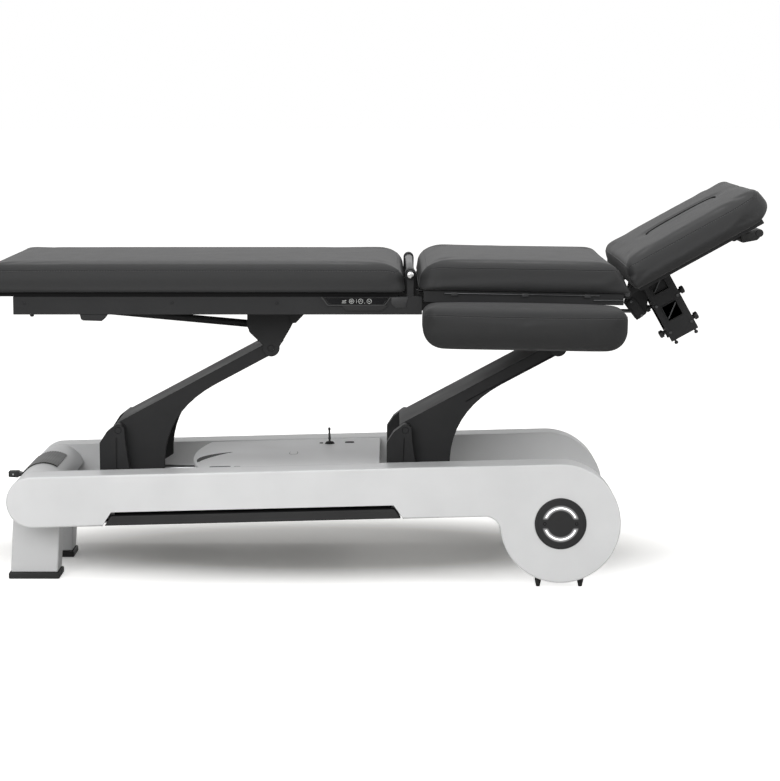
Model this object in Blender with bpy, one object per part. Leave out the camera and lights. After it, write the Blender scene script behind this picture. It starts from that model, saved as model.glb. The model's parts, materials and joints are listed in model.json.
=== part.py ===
"""Electric massage table: white two-sided base, parallelogram lift and a three-part padded top.

Units are metres and +Z is up. +X runs to the head end, and the control panel is on the -Y side.
The origin lies on the floor below the middle of the table's outline.
"""

import math

import bmesh
import bpy
from mathutils import Matrix, Vector

# Fits shared by every piece
FIT = 0.0003
RUNNING = 0.0004
OVERLAP = 0.002
THROUGH = 0.010

# Base outline seen from the near side: a strip with a round nose, tangent to a big round end
NOSE_X = -0.863
NOSE_Z = 0.2216
STRIP_RADIUS = 0.065
DISC_X = 0.465
DISC_Z = 0.168
DISC_RADIUS = 0.152
STRIP_FILLET = 0.040
COVER_HALF = 0.310
COVER_DEPTH = 0.080
COVER_WALL = 0.005
SIDE_PLATE = 0.008

# Foot bars in the lower edge of the covers, measured along the strip from the nose
RECESS_START = 0.198
RECESS_END = 0.908
RECESS_HEIGHT = 0.0355
RECESS_FLARE = 0.024
RECESS_DEPTH = 0.050
BAR_SIZE = 0.024
BAR_SETBACK = 0.002
BAR_LIFT = 0.001
BAR_END_PLAY = 0.006
BAR_WEB = 0.006
BAR_ROD_RADIUS = 0.004
BAR_ROD_INSET = 0.065
BAR_ROD_HEIGHT = 0.030
BAR_HUB_WALL = 0.004
BAR_BRACKET = 0.012

# Round hubs with light arcs on the head-end discs
HUB_RADIUS = 0.065
HUB_THICKNESS = 0.004
HUB_RECESS = 0.002
LIGHT_RADIUS = 0.040
LIGHT_WIDTH = 0.0065
LIGHT_THICKNESS = 0.0018
LIGHT_GROOVE = 0.0015
LIGHT_START = 20.0

# Feet
HEAD_FOOT_SPREAD = 0.0535
HEAD_FOOT_TOP_RADIUS = 0.0085
HEAD_FOOT_BASE_RADIUS = 0.005
HEAD_FOOT_PAD = 0.019
HEAD_FOOT_STEM = 0.004
FOOT_RAIL_Z = 0.050
FOOT_RAIL_THICKNESS = 0.008
FOOT_RAIL_HALF = 0.070
FOOT_RAIL_REACH = 0.070
LEG_X = -0.8795
LEG_WIDTH = 0.121
LEG_RAKE = 0.009
LEG_INSET = 0.0417
LEG_DEPTH = 0.080
SOLE_HEIGHT = 0.016
SOLE_LIP = 0.005

# Cross members of the chassis
NOSE_BEAM_LENGTH = 0.070
NOSE_BEAM_X = -0.850
NOSE_BEAM_Z = 0.1655
NOSE_BEAM_HEIGHT = 0.020
PEDESTAL_FLOOR = 0.1963
PEDESTAL_BEAM = 0.012
PEDESTAL_BEAM_LENGTH = 0.130
HEAD_TUBE_RADIUS = 0.030
ACTUATOR_WALL_X = -0.1147
ACTUATOR_WALL = 0.012
ACTUATOR_WALL_TOP = 0.272
LEDGE_WIDTH = 0.016
LEDGE_HEIGHT = 0.012

# Nose cover, grip pad and pedal
NOSE_WALL = 0.005
NOSE_FROM = 15.0
NOSE_TO = 232.0
GRIP_FROM = 57.0
GRIP_TO = 150.0
GRIP_HALF = 0.095
GRIP_THICKNESS = 0.003
PEDAL_X = -0.840
PEDAL_Z = 0.240
PEDAL_TIP_X = -0.967
PEDAL_TIP_Z = 0.2436
PEDAL_HALF = 0.012
PEDAL_BAR = 0.009
PEDAL_PAD = 0.017
PEDAL_PAD_LENGTH = 0.032
PEDAL_HUB = 0.011
PEDAL_PIN_RADIUS = 0.005
PEDAL_LUG = 0.006
PEDAL_SLOT_LOW = 0.213
PEDAL_SLOT_HIGH = 0.251
PEDAL_SLOT_SIDE = 0.004

# Deck cover and its toggle, along the strip from the nose
DECK_START = 0.386
DECK_END = 0.875
DECK_BOW = 0.030
DECK_DROP = 0.002
DECK_THICKNESS = 0.010
SLOT_START_ALONG = 0.408
SLOT_START_Y = -0.115
SLOT_END_ALONG = 0.478
SLOT_END_Y = 0.020
SLOT_BOW = 0.032
SLOT_WIDTH = 0.013
TOGGLE_ALONG = 0.739
TOGGLE_Y = 0.135
TOGGLE_HEIGHT = 0.040
TOGGLE_STEM = 0.002
TOGGLE_KNOB = 0.0034
TOGGLE_BALL = 0.0045
BOOT_RADIUS = 0.013
BOOT_HEIGHT = 0.006

# Lift: two equal arms on pedestals, joined by the top frame
PIVOT_X = -0.660
PIVOT_Z = 0.383
ARM_SPACING = 0.736
ARM_LENGTH = 0.444
ARM_ANGLE = 28.1
ARM_HALF = 0.125
ARM_PLATE = 0.012
ARM_BAR = 0.032
ARM_WEB = 0.006
ARM_FLARE_START = 0.270
ARM_HEEL_X = 0.052
ARM_HEEL_Z = -0.146
ARM_FLARE_PULL = 0.115
ARM_TOE_X = -0.044
ARM_TOE_Z = -0.129
ARM_TIE_X = 0.080
ARM_TIE_Z = -0.070
ARM_TIE_RADIUS = 0.011
ARM_SLIT_START = 0.170
ARM_SLIT_HEIGHT = 0.003
ARM_SLIT_DEPTH = 0.004
PIN_RADIUS = 0.008
LEVER_REACH = 0.125
LEVER_SWING = 36.0
LEVER_WALL = 0.008
POST_DEPTH = 0.038
POST_REAR = 0.048
POST_TOE = 0.040
POST_BOSS = 0.016
POST_CHAMFER = 0.018
POST_SLIT = 0.003
POST_SLIT_REAR = 0.0045
POST_SLIT_LOW = 0.105
POST_SLIT_HIGH = 0.020
POST_TOE_HEIGHT = 0.062
PEDESTAL_PLATE = 0.008

# Linear actuator inside the base
CROSSHEAD_RADIUS = 0.006
CROSSHEAD_PLAY = 0.0055
ROD_RADIUS = 0.010
ROD_LENGTH = 0.330
ROD_BLOCK = 0.026
ACTUATOR_RADIUS = 0.026
ACTUATOR_FRONT_X = -0.475
ACTUATOR_BORE_END_X = -0.200
MOTOR_LENGTH = 0.100
MOTOR_WIDTH = 0.120
MOTOR_HEIGHT = 0.046

# Top frame
RAIL_TOP = 0.740
RAIL_HEIGHT = 0.045
RAIL_WIDTH = 0.025
RAIL_WALL = 0.004
RAIL_HALF = 0.305
RAIL_START_X = -0.8995
RAIL_END_X = 0.116
CROSS_LENGTH = 0.040
CROSS_HEIGHT = 0.030
FOOT_CROSS_X = -0.870
LIFT_CROSS_X = -0.300
GAP_CROSS_X = 0.030
SPINE_TOP = 0.712
SPINE_HEIGHT = 0.022
SPINE_WIDTH = 0.024
SPINE_START_X = -0.330
SPINE_END_X = 0.575
BRACKET_PLATE = 0.008
BRACKET_KNUCKLE = 0.022
BRACKET_FRONT = 0.084
BRACKET_REAR = 0.060
EAR_X = -0.044
EAR_Z = 0.048
EAR_RADIUS = 0.009
EAR_WALL = 0.008
STAY_RADIUS = 0.010
STAY_LUG_X = -0.862
STAY_LUG = 0.010
STAY_LUG_DROP = 0.022
STAY_END_Z = 0.6905

# Control panel on the near rail
PANEL_X = -0.0475
PANEL_WIDTH = 0.165
PANEL_TAPER = 0.015
PANEL_TOP = 0.7385
PANEL_HEIGHT = 0.0185
PANEL_DEPTH = 0.008
PANEL_RIM = 0.0025
GLASS_DEPTH = 0.002

# Upholstery
BOARD_THICKNESS = 0.010
BOARD_START_X = -0.955
BOARD_END_X = 0.058
CUSHION_HALF = 0.325
CUSHION_CORNER = 0.030
CUSHION_END = 0.058
CUSHION_SIDE = 0.026
CUSHION_EDGE = 0.045
CUSHION_FOOT = 0.006
CUSHION_CORNER_SHARE = 0.7
CUSHION_CROWN = 0.003
CUSHION_DRAW = 0.004
MAIN_START_X = -0.971
MAIN_END_X = 0.071
MAIN_THICKNESS = 0.069

# Middle section, measured from its hinge on the bar in the gap
HINGE_X = 0.087
HINGE_Z = 0.795
MIDDLE_DROOP = 1.0
GAP_BAR_RADIUS = 0.0105
GAP_BAR_HALF = 0.322
GAP_EAR_WALL = 0.0035
GAP_POST = 0.015
GAP_POST_LENGTH = 0.016
GAP_EAR_Y = 0.265
GAP_EAR = 0.020
GAP_EAR_REACH = 0.041
MIDDLE_START = 0.019
MIDDLE_END = 0.541
MIDDLE_BASE = -0.038
MIDDLE_THICKNESS = 0.068
MIDDLE_LEAN = 0.055
STRIP_PLATE = 0.005
SIDE_STRIP_START = 0.034
SIDE_STRIP_HEIGHT = 0.029
SIDE_STRIP_WIDTH = 0.022
SIDE_STRIP_HALF = 0.312
FRAME_END = 0.532

# Armrests: level pads on swinging links at both sides of the middle section
LINK_Y = 0.2397
LINK_Z = -0.115
LINK_LENGTH = 0.100
LINK_DROP = 26.7
LINK_BAR = 0.016
LINK_PLATE = 0.010
LINK_SHAFT = 0.006
LINK_PIN = 0.005
LINK_FIRST = 0.150
LINK_SECOND = 0.380
HANGER = 0.008
HANGER_GAP = 0.012
HANGER_BOSS = 0.012
ARMREST_START = 0.028
ARMREST_END = 0.526
ARMREST_INNER = 0.345
ARMREST_OUTER = 0.495
ARMREST_LOW = -0.166
ARMREST_THICKNESS = 0.102
ARMREST_EDGE = 0.022
ARMREST_END_EDGE = 0.032
ARMREST_ROUND = 0.050
ARMREST_SIDE_ROUND = 0.022
ARMREST_PLATE = 0.005
ARMREST_PLATE_INSET = 0.070
ARMREST_LUG = 0.008
ARMREST_BOSS = 0.0105

# Head section, measured from its hinge
HEAD_HINGE_X = 0.551
HEAD_HINGE_Z = -0.050
HEAD_TILT = 30.0
HEAD_ROD_RADIUS = 0.007
HEAD_ROD_HALF = 0.192
HEAD_LUG_Y = 0.178
HEAD_LUG = 0.015
HEAD_LUG_FOOT = 0.050
HEAD_BOSS = 0.0114
HEAD_START = 0.011
HEAD_END = 0.410
HEAD_BASE = 0.014
HEAD_THICKNESS = 0.069
HEAD_EDGE = 0.036
HEAD_BOARD = 0.010
HEAD_BOARD_INSET = 0.018
HEAD_BOARD_HALF = 0.290
FACE_CENTRE = 0.227
FACE_HALF_LENGTH = 0.103
FACE_HALF_WIDTH = 0.050
FACE_GAP = 0.0008
FACE_CROWN = 0.003

# Cage below the head board, spring lever and gas spring
CAGE_U = 0.088
CAGE_WIDTH = 0.078
CAGE_DEPTH = 0.187
CAGE_HALF = 0.050
CAGE_PLATE = 0.006
CAGE_BLOCK = 0.016
CAGE_WINDOW = 0.040
CAGE_BOLT = 0.0035
CAGE_KNOB = 0.006
CAGE_KNOB_LENGTH = 0.007
SPRING_DROP = 0.060
SPRING_SWING = 38.0
SPRING_PIN = 0.004
SPRING_PIN_PLAY = 0.0035
SPRING_PIN_HALF = 0.028
SPRING_ROD = 0.005
SPRING_ROD_LENGTH = 0.245
SPRING_RADIUS = 0.012
SPRING_BACK = 0.190
SPRING_FRONT = 0.470
SPRING_BORE_BACK = 0.206
SPRING_HANGER = 0.012
SPRING_CLAMP_X = 0.430
LEVER_PLATE_Y = 0.020
LEVER_PLATE = 0.008

# Release lever at the head end
RELEASE_U = 0.320
RELEASE_V = -0.026
RELEASE_LENGTH = 0.0634
RELEASE_DROOP = 17.0
RELEASE_BAR = 0.015
RELEASE_HALF = 0.014
RELEASE_GRIP = 0.045
RELEASE_PIN = 0.004
RELEASE_LUG = 0.006
RELEASE_BOSS = 0.010
RELEASE_BLOCK_LENGTH = 0.040
RELEASE_BLOCK_DROP = 0.020

# Finishes: colour, roughness, metallic
WHITE_SHELL = ((0.80, 0.81, 0.82), 0.42, 0.0)
GREY_SHELL = ((0.55, 0.56, 0.57), 0.45, 0.0)
WHITE_METAL = ((0.76, 0.77, 0.78), 0.40, 0.1)
DARK_METAL = ((0.055, 0.056, 0.058), 0.55, 0.3)
STEEL = ((0.45, 0.46, 0.47), 0.35, 1.0)
CHROME = ((0.80, 0.81, 0.82), 0.12, 1.0)
BLACK_PLASTIC = ((0.02, 0.02, 0.021), 0.50, 0.0)
GLOSS_BLACK = ((0.008, 0.008, 0.009), 0.08, 0.0)
HUB_PLASTIC = ((0.035, 0.036, 0.038), 0.40, 0.0)
RUBBER = ((0.015, 0.015, 0.015), 0.80, 0.0)
LIGHT = ((0.95, 0.97, 1.0), 0.30, 0.0)
LEATHER = ((0.060, 0.061, 0.064), 0.50, 0.0)
ALLOY = ((0.30, 0.31, 0.32), 0.40, 1.0)

# Values worked out from the sizes above
DISC_RUN = math.hypot(DISC_X - NOSE_X, DISC_Z - NOSE_Z)
RISE = math.atan2(DISC_Z - NOSE_Z, DISC_X - NOSE_X) + math.asin((DISC_RADIUS - STRIP_RADIUS) / DISC_RUN)
RISE_DEGREES = math.degrees(RISE)
PLATE_OUTER = COVER_HALF - COVER_DEPTH - FIT
PLATE_INNER = PLATE_OUTER - SIDE_PLATE
TIP_X = PIVOT_X + ARM_LENGTH * math.cos(math.radians(ARM_ANGLE))
TIP_Z = PIVOT_Z + ARM_LENGTH * math.sin(math.radians(ARM_ANGLE))
LEVER_END = LEVER_REACH / math.cos(math.radians(LEVER_SWING))
POST_INNER = ARM_HALF + OVERLAP
POST_OUTER = POST_INNER + POST_DEPTH
BOARD_BOTTOM = RAIL_TOP + FIT
MAIN_BASE = BOARD_BOTTOM + BOARD_THICKNESS + FIT
DECK_TOP = STRIP_RADIUS - DECK_DROP


for old_object in list(bpy.data.objects):
    bpy.data.objects.remove(old_object)


def finished(bm):
    """Turn a bmesh into a mesh whose faces point outwards."""
    bmesh.ops.recalc_face_normals(bm, faces=bm.faces)
    mesh = bpy.data.meshes.new("shape")
    bm.to_mesh(mesh)
    bm.free()
    return mesh


def placed(axis, station, a, b):
    """Point of an outline (a, b) at a station on an axis."""
    if axis == "X":
        return (station, a, b)
    if axis == "Y":
        return (a, station, b)
    return (a, b, station)


def prism(outline, low, high, axis="Y"):
    """Closed prism: an outline carried between two stations on an axis."""
    bm = bmesh.new()
    first = [bm.verts.new(placed(axis, low, a, b)) for a, b in outline]
    last = [bm.verts.new(placed(axis, high, a, b)) for a, b in outline]
    bm.faces.new(first)
    bm.faces.new(last[::-1])
    for k, corner in enumerate(first):
        after = (k + 1) % len(first)
        bm.faces.new((corner, last[k], last[after], first[after]))
    return finished(bm)


def box(x0, x1, y0, y1, z0, z1):
    """Box between two corners."""
    return prism([(x0, z0), (x1, z0), (x1, z1), (x0, z1)], y0, y1)


def rod(start, end, radius, end_radius=None, sides=16):
    """Round bar, or a cone, between two points."""
    start = Vector(start)
    span = Vector(end) - start
    turn = span.to_track_quat("Z", "Y").to_matrix().to_4x4()
    place = Matrix.Translation(start + span / 2) @ turn
    bm = bmesh.new()
    bmesh.ops.create_cone(
        bm,
        cap_ends=True,
        segments=sides,
        radius1=radius,
        radius2=radius if end_radius is None else end_radius,
        depth=span.length,
        matrix=place,
    )
    return finished(bm)


def turned(profile, sides=16):
    """Solid of revolution about Z: profile points (radius, z), both ends on the axis."""
    bm = bmesh.new()
    foot = bm.verts.new((0.0, 0.0, profile[0][1]))
    crest = bm.verts.new((0.0, 0.0, profile[-1][1]))
    rings = []
    for radius, z in profile[1:-1]:
        ring = []
        for k in range(sides):
            angle = 2 * math.pi * k / sides
            ring.append(bm.verts.new((radius * math.cos(angle), radius * math.sin(angle), z)))
        rings.append(ring)
    for k in range(sides):
        after = (k + 1) % sides
        bm.faces.new((foot, rings[0][after], rings[0][k]))
        bm.faces.new((crest, rings[-1][k], rings[-1][after]))
        for lower, upper in zip(rings, rings[1:]):
            bm.faces.new((lower[k], lower[after], upper[after], upper[k]))
    return finished(bm)


def arc(x, z, radius, start, end, steps):
    """Points on a circular arc, with angles in degrees from +X towards +Z."""
    points = []
    for k in range(steps + 1):
        angle = math.radians(start + (end - start) * k / steps)
        points.append((x + radius * math.cos(angle), z + radius * math.sin(angle)))
    return points


def sector(x, z, inner, outer, start, end, steps):
    """Outline of a bent strip between two radii."""
    return arc(x, z, outer, start, end, steps) + arc(x, z, inner, end, start, steps)


def bend(start, pull, end, steps):
    """Points on a quadratic curve from start to end, drawn towards pull."""
    points = []
    for k in range(steps + 1):
        t = k / steps
        a = (1 - t) ** 2
        b = 2 * t * (1 - t)
        c = t ** 2
        points.append((a * start[0] + b * pull[0] + c * end[0], a * start[1] + b * pull[1] + c * end[1]))
    return points


def along_strip(mesh):
    """Move a mesh drawn along the strip (x from the nose, z from its middle line) into place."""
    mesh.transform(Matrix.Translation((NOSE_X, 0, NOSE_Z)) @ Matrix.Rotation(-RISE, 4, "Y"))
    return mesh


def mirrored(mesh):
    """Copy of a mesh on the other side of the middle plane."""
    other = mesh.copy()
    other.transform(Matrix.Scale(-1, 4, (0, 1, 0)))
    other.flip_normals()
    return other


def both(mesh):
    """A mesh and its mirror image."""
    return [mesh, mirrored(mesh)]


def joint_frame(name, location, parent, tilt=0.0):
    """Empty on a joint's axis. A positive tilt in degrees lifts its +X side."""
    frame = bpy.data.objects.new(name, None)
    bpy.context.collection.objects.link(frame)
    frame.parent = parent
    frame.location = location
    frame.rotation_euler = (0.0, -math.radians(tilt), 0.0)
    return frame


def finish_material(name, finish):
    """Principled material with a piece's colour, roughness and metallic value."""
    colour, roughness, metallic = finish
    material = bpy.data.materials.new(name)
    material.use_nodes = True
    shader = material.node_tree.nodes["Principled BSDF"]
    shader.inputs["Base Color"].default_value = (*colour, 1.0)
    shader.inputs["Roughness"].default_value = roughness
    shader.inputs["Metallic"].default_value = metallic
    return material


def combine(target, tools, operation):
    """Join meshes to an object's mesh, or cut them out of it."""
    for tool in tools:
        helper = bpy.data.objects.new("tool", tool)
        helper.hide_render = True
        helper.display_type = "WIRE"
        bpy.context.collection.objects.link(helper)
        step = target.modifiers.new("step", "BOOLEAN")
        step.operation = operation
        step.object = helper
        depsgraph = bpy.context.evaluated_depsgraph_get()
        result = bpy.data.meshes.new_from_object(target.evaluated_get(depsgraph))
        target.modifiers.remove(step)
        target.data = result
        bpy.data.objects.remove(helper)


def part(name, finish, parent, shape, add=(), cut=(), last=(), drawn_in_place=True):
    """One named piece: a shape with others added, cut away and, last, added again.

    A piece drawn in place keeps its coordinates under its joint's empty.
    """
    piece = bpy.data.objects.new(name, shape)
    bpy.context.collection.objects.link(piece)
    combine(piece, add, "UNION")
    combine(piece, cut, "DIFFERENCE")
    combine(piece, last, "UNION")
    piece.data.name = name
    piece.data.materials.clear()
    piece.data.materials.append(finish_material(name, finish))
    piece.data.shade_smooth()
    piece.data.set_sharp_from_angle(angle=math.radians(35))
    piece.parent = parent
    if drawn_in_place and parent is not root:
        piece.location = -parent.location
    return piece


def twin(name, finish, parent, piece, drawn_in_place=True):
    """The same piece on the other side of the table."""
    return part(name, finish, parent, mirrored(piece.data), drawn_in_place=drawn_in_place)


def plan_outline(x0, x1, half_y, corner, draw, side_steps=6, corner_steps=4):
    """Rounded rectangle in plan whose straight sides draw in between the corners."""
    middle = (x0 + x1) / 2
    half_x = (x1 - x0) / 2
    points = []
    for quarter in range(4):
        sign_x = 1 if quarter in (0, 3) else -1
        sign_y = 1 if quarter in (0, 1) else -1
        centre_x = sign_x * (half_x - corner)
        centre_y = sign_y * (half_y - corner)
        points += arc(centre_x, centre_y, corner, 90 * quarter, 90 * quarter + 90, corner_steps)
        for k in range(1, side_steps):
            s = 1 - 2 * k / side_steps
            pull = draw * (1 - s * s)
            if quarter in (0, 2):
                points.append((centre_x * s, sign_y * (half_y - pull)))
            else:
                points.append((sign_x * (half_x - pull), centre_y * s))
    return [(middle + a, b) for a, b in points]


def cushion(x0, x1, half_y, base, thickness, foot, edge, crown, draw=CUSHION_DRAW, lean=0.0):
    """Padded block: flat base, drawn-in sides, rounded upper edge and a crowned top.

    foot and edge are the rounds of the lower and upper edges: reach along X, along Y and upwards.
    draw pulls the straight sides in, and lean draws the +X end back towards its top.
    """
    levels = []
    for k in range(4):
        angle = math.radians(30 * k)
        levels.append((foot[2] * (1 - math.cos(angle)), foot[0] * (1 - math.sin(angle)),
                       foot[1] * (1 - math.sin(angle))))
    shoulder = thickness - edge[2]
    levels.append(((foot[2] + shoulder) / 2, draw / 2, draw / 2))
    for k in range(4):
        angle = math.radians(30 * k)
        drawn = 1 - math.cos(angle)
        levels.append((shoulder + edge[2] * math.sin(angle), edge[0] * drawn, edge[1] * drawn))
    middle_x = (x0 + x1) / 2
    half_x = (x1 - x0) / 2

    def ring(bm, points, z):
        verts = []
        for x, y in points:
            pull = lean * (z / thickness) ** 2 * max(0.0, (x - middle_x) / half_x) ** 3
            verts.append(bm.verts.new((x - pull, y, base + z)))
        return verts

    bm = bmesh.new()
    rings = []
    for z, inset_x, inset_y in levels:
        corner = min(CUSHION_CORNER, half_y * CUSHION_CORNER_SHARE) - max(inset_x, inset_y) / 4
        outline = plan_outline(x0 + inset_x, x1 - inset_x, half_y - inset_y, corner, draw)
        rings.append(ring(bm, outline, z))
    for share in (0.80, 0.50, 0.22):
        shrunk = [(middle_x + (x - middle_x) * share, y * share) for x, y in outline]
        rings.append(ring(bm, shrunk, thickness + crown * (1 - share ** 2)))
    count = len(rings[0])
    crest = bm.verts.new((middle_x, 0.0, base + thickness + crown))
    bm.faces.new(rings[0][::-1])
    for k in range(count):
        after = (k + 1) % count
        bm.faces.new((rings[-1][k], rings[-1][after], crest))
        for lower, upper in zip(rings, rings[1:]):
            bm.faces.new((lower[k], lower[after], upper[after], upper[k]))
    return finished(bm)


def shifted(mesh, y):
    """Move a mesh across the table."""
    mesh.transform(Matrix.Translation((0, y, 0)))
    return mesh


def cover_outline(inset):
    """Side outline of the base: round nose, straight strip, concave fillet and round head end."""
    along = Vector((math.cos(RISE), math.sin(RISE)))
    up = Vector((-math.sin(RISE), math.cos(RISE)))
    nose = Vector((NOSE_X, NOSE_Z))
    disc = Vector((DISC_X, DISC_Z))
    fillet_line = nose - (STRIP_RADIUS + STRIP_FILLET) * up
    offset = fillet_line - disc
    reach = DISC_RADIUS + STRIP_FILLET
    slope = offset.dot(along)
    run = -slope - math.sqrt(slope ** 2 - offset.length_squared + reach ** 2)
    fillet = fillet_line + run * along
    towards = math.degrees(math.atan2(disc.y - fillet.y, disc.x - fillet.x))
    points = arc(nose.x, nose.y, STRIP_RADIUS - inset, RISE_DEGREES + 90, RISE_DEGREES + 270, 14)
    points += arc(fillet.x, fillet.y, STRIP_FILLET + inset, RISE_DEGREES + 90, towards, 6)
    points += arc(disc.x, disc.y, DISC_RADIUS - inset, towards + 180, RISE_DEGREES + 450, 36)[1:]
    return points


def tray(outer, inner, closed, floor, rim):
    """Shell open on one side: outer outline from closed to rim, hollowed by inner from floor on."""
    bm = bmesh.new()
    loops = []
    for outline, station in ((outer, closed), (outer, rim), (inner, rim), (inner, floor)):
        loops.append([bm.verts.new((x, station, z)) for x, z in outline])
    bm.faces.new(loops[0])
    bm.faces.new(loops[3])
    for first, last in zip(loops, loops[1:]):
        for k in range(len(first)):
            after = (k + 1) % len(first)
            bm.faces.new((first[k], first[after], last[after], last[k]))
    return finished(bm)


root = bpy.data.objects.new("table", None)
bpy.context.collection.objects.link(root)


# Base: chassis, covers and feet

PIVOTS = [PIVOT_X, PIVOT_X + ARM_SPACING]
STRIP_BOTTOM = -STRIP_RADIUS
BAR_START = RECESS_START + BAR_END_PLAY
BAR_END = RECESS_END - BAR_END_PLAY
BAR_ROD_Y = -(COVER_HALF - BAR_ROD_INSET)
BAR_ROD_Z = STRIP_BOTTOM + BAR_ROD_HEIGHT
HEAD_FOOT_Y = -(COVER_HALF - COVER_DEPTH / 2)
HEAD_FEET = [DISC_X - HEAD_FOOT_SPREAD, DISC_X + HEAD_FOOT_SPREAD]
PEDAL_LUG_Y = PEDAL_HALF + FIT
CROSSHEAD_Z = PIVOT_Z - LEVER_REACH


def bar_rod(radius, extra):
    """Pivot rod of the near foot bar."""
    low = BAR_START - BAR_BRACKET - BAR_END_PLAY - extra
    high = BAR_END + BAR_BRACKET + BAR_END_PLAY + extra
    return along_strip(rod((low, BAR_ROD_Y, BAR_ROD_Z), (high, BAR_ROD_Y, BAR_ROD_Z), radius, sides=14))


def make_chassis():
    """Welded frame: side plates, cross members, ledges and the brackets of the moving pieces."""
    side = prism(cover_outline(0.0), -PLATE_OUTER, -PLATE_INNER)
    span = PLATE_INNER + OVERLAP
    nose_half = NOSE_BEAM_LENGTH / 2
    add = [mirrored(side)]
    add.append(box(NOSE_BEAM_X - nose_half, NOSE_BEAM_X + nose_half, -span, span,
                   NOSE_BEAM_Z, NOSE_BEAM_Z + NOSE_BEAM_HEIGHT))
    for x in PIVOTS:
        half = PEDESTAL_BEAM_LENGTH / 2
        top = PEDESTAL_FLOOR - FIT
        add.append(box(x - half, x + half, -span, span, top - PEDESTAL_BEAM, top))
    add.append(rod((DISC_X, -span, DISC_Z), (DISC_X, span, DISC_Z), HEAD_TUBE_RADIUS))
    add.append(box(ACTUATOR_WALL_X, ACTUATOR_WALL_X + ACTUATOR_WALL, -span, span,
                   PEDESTAL_FLOOR, ACTUATOR_WALL_TOP))
    ledge_top = DECK_TOP - DECK_THICKNESS - FIT
    add += both(along_strip(box(DECK_START + DECK_BOW, DECK_END, -span, LEDGE_WIDTH - span,
                                ledge_top - LEDGE_HEIGHT, ledge_top)))
    add += both(box(DISC_X - FOOT_RAIL_HALF, DISC_X + FOOT_RAIL_HALF, -PLATE_INNER - FOOT_RAIL_REACH,
                    -PLATE_INNER - OVERLAP, FOOT_RAIL_Z, FOOT_RAIL_Z + FOOT_RAIL_THICKNESS))
    reach = BAR_ROD_Y - 2 * BAR_ROD_RADIUS
    for low in (BAR_START - BAR_BRACKET - BAR_END_PLAY, BAR_END + BAR_END_PLAY):
        add += both(along_strip(box(low, low + BAR_BRACKET, reach, OVERLAP - PLATE_OUTER,
                                    BAR_ROD_Z - 2 * BAR_ROD_RADIUS, BAR_ROD_Z + 2 * BAR_ROD_RADIUS)))
    add += both(box(PEDAL_X - PEDAL_HUB, PEDAL_X + PEDAL_HUB, -PEDAL_LUG_Y - PEDAL_LUG, -PEDAL_LUG_Y,
                    NOSE_BEAM_Z + OVERLAP, PEDAL_Z + PEDAL_HUB))
    cut = both(bar_rod(BAR_ROD_RADIUS + FIT, THROUGH))
    pin_reach = PEDAL_LUG_Y + PEDAL_LUG + THROUGH
    cut.append(rod((PEDAL_X, -pin_reach, PEDAL_Z), (PEDAL_X, pin_reach, PEDAL_Z), PEDAL_PIN_RADIUS + FIT))
    part("chassis_frame", WHITE_METAL, root, side, add, cut)


def make_covers():
    """Two moulded shells with a hub seat, foot-bar recess and holes for the head feet."""
    shell = tray(cover_outline(0.0), cover_outline(COVER_WALL), -COVER_HALF, COVER_WALL - COVER_HALF,
                 COVER_DEPTH - COVER_HALF)
    seat = rod((DISC_X, -COVER_HALF - THROUGH, DISC_Z), (DISC_X, HUB_RECESS - COVER_HALF, DISC_Z),
               HUB_RADIUS + FIT, sides=48)
    high = STRIP_BOTTOM + RECESS_HEIGHT
    flare = RECESS_FLARE * (1 + THROUGH / RECESS_HEIGHT)
    recess = [(RECESS_START - flare, STRIP_BOTTOM - THROUGH), (RECESS_END + flare, STRIP_BOTTOM - THROUGH),
              (RECESS_END, high), (RECESS_START, high)]
    cut = [seat, along_strip(prism(recess, -COVER_HALF - THROUGH, RECESS_DEPTH - COVER_HALF))]
    for x in HEAD_FEET:
        cut.append(rod((x, HEAD_FOOT_Y, -THROUGH), (x, HEAD_FOOT_Y, FOOT_RAIL_Z),
                       HEAD_FOOT_TOP_RADIUS + FIT))
    near = part("side_cover_near", WHITE_SHELL, root, shell, cut=cut)
    twin("side_cover_far", WHITE_SHELL, root, near)


def make_head_feet():
    """Tapered feet whose stems stand under the chassis rails."""
    profile = [(0.0, 0.0), (HEAD_FOOT_BASE_RADIUS, 0.0), (HEAD_FOOT_TOP_RADIUS, HEAD_FOOT_PAD),
               (HEAD_FOOT_TOP_RADIUS, FOOT_RAIL_Z - FIT), (0.0, FOOT_RAIL_Z - FIT)]
    for place, x in zip("ab", HEAD_FEET):
        shape = turned(profile)
        shape.transform(Matrix.Translation((x, HEAD_FOOT_Y, 0.0)))
        near = part("head_foot_near_" + place, RUBBER, root, shape)
        twin("head_foot_far_" + place, RUBBER, root, near)


def make_legs():
    """Raked legs below the nose beam, each on a rubber sole."""
    half = LEG_WIDTH / 2
    top = NOSE_BEAM_Z - FIT
    outline = [(LEG_X - half, SOLE_HEIGHT + FIT), (LEG_X + half, SOLE_HEIGHT + FIT),
               (LEG_X + half + LEG_RAKE, top), (LEG_X - half + LEG_RAKE, top)]
    outer = PLATE_INNER - LEG_INSET
    inner = outer - LEG_DEPTH
    near = part("foot_leg_near", WHITE_METAL, root, prism(outline, -outer, -inner))
    twin("foot_leg_far", WHITE_METAL, root, near)
    sole = box(LEG_X - half - SOLE_LIP, LEG_X + half + SOLE_LIP, -outer - SOLE_LIP, SOLE_LIP - inner,
               0.0, SOLE_HEIGHT)
    near = part("foot_sole_near", RUBBER, root, sole)
    twin("foot_sole_far", RUBBER, root, near)


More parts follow.
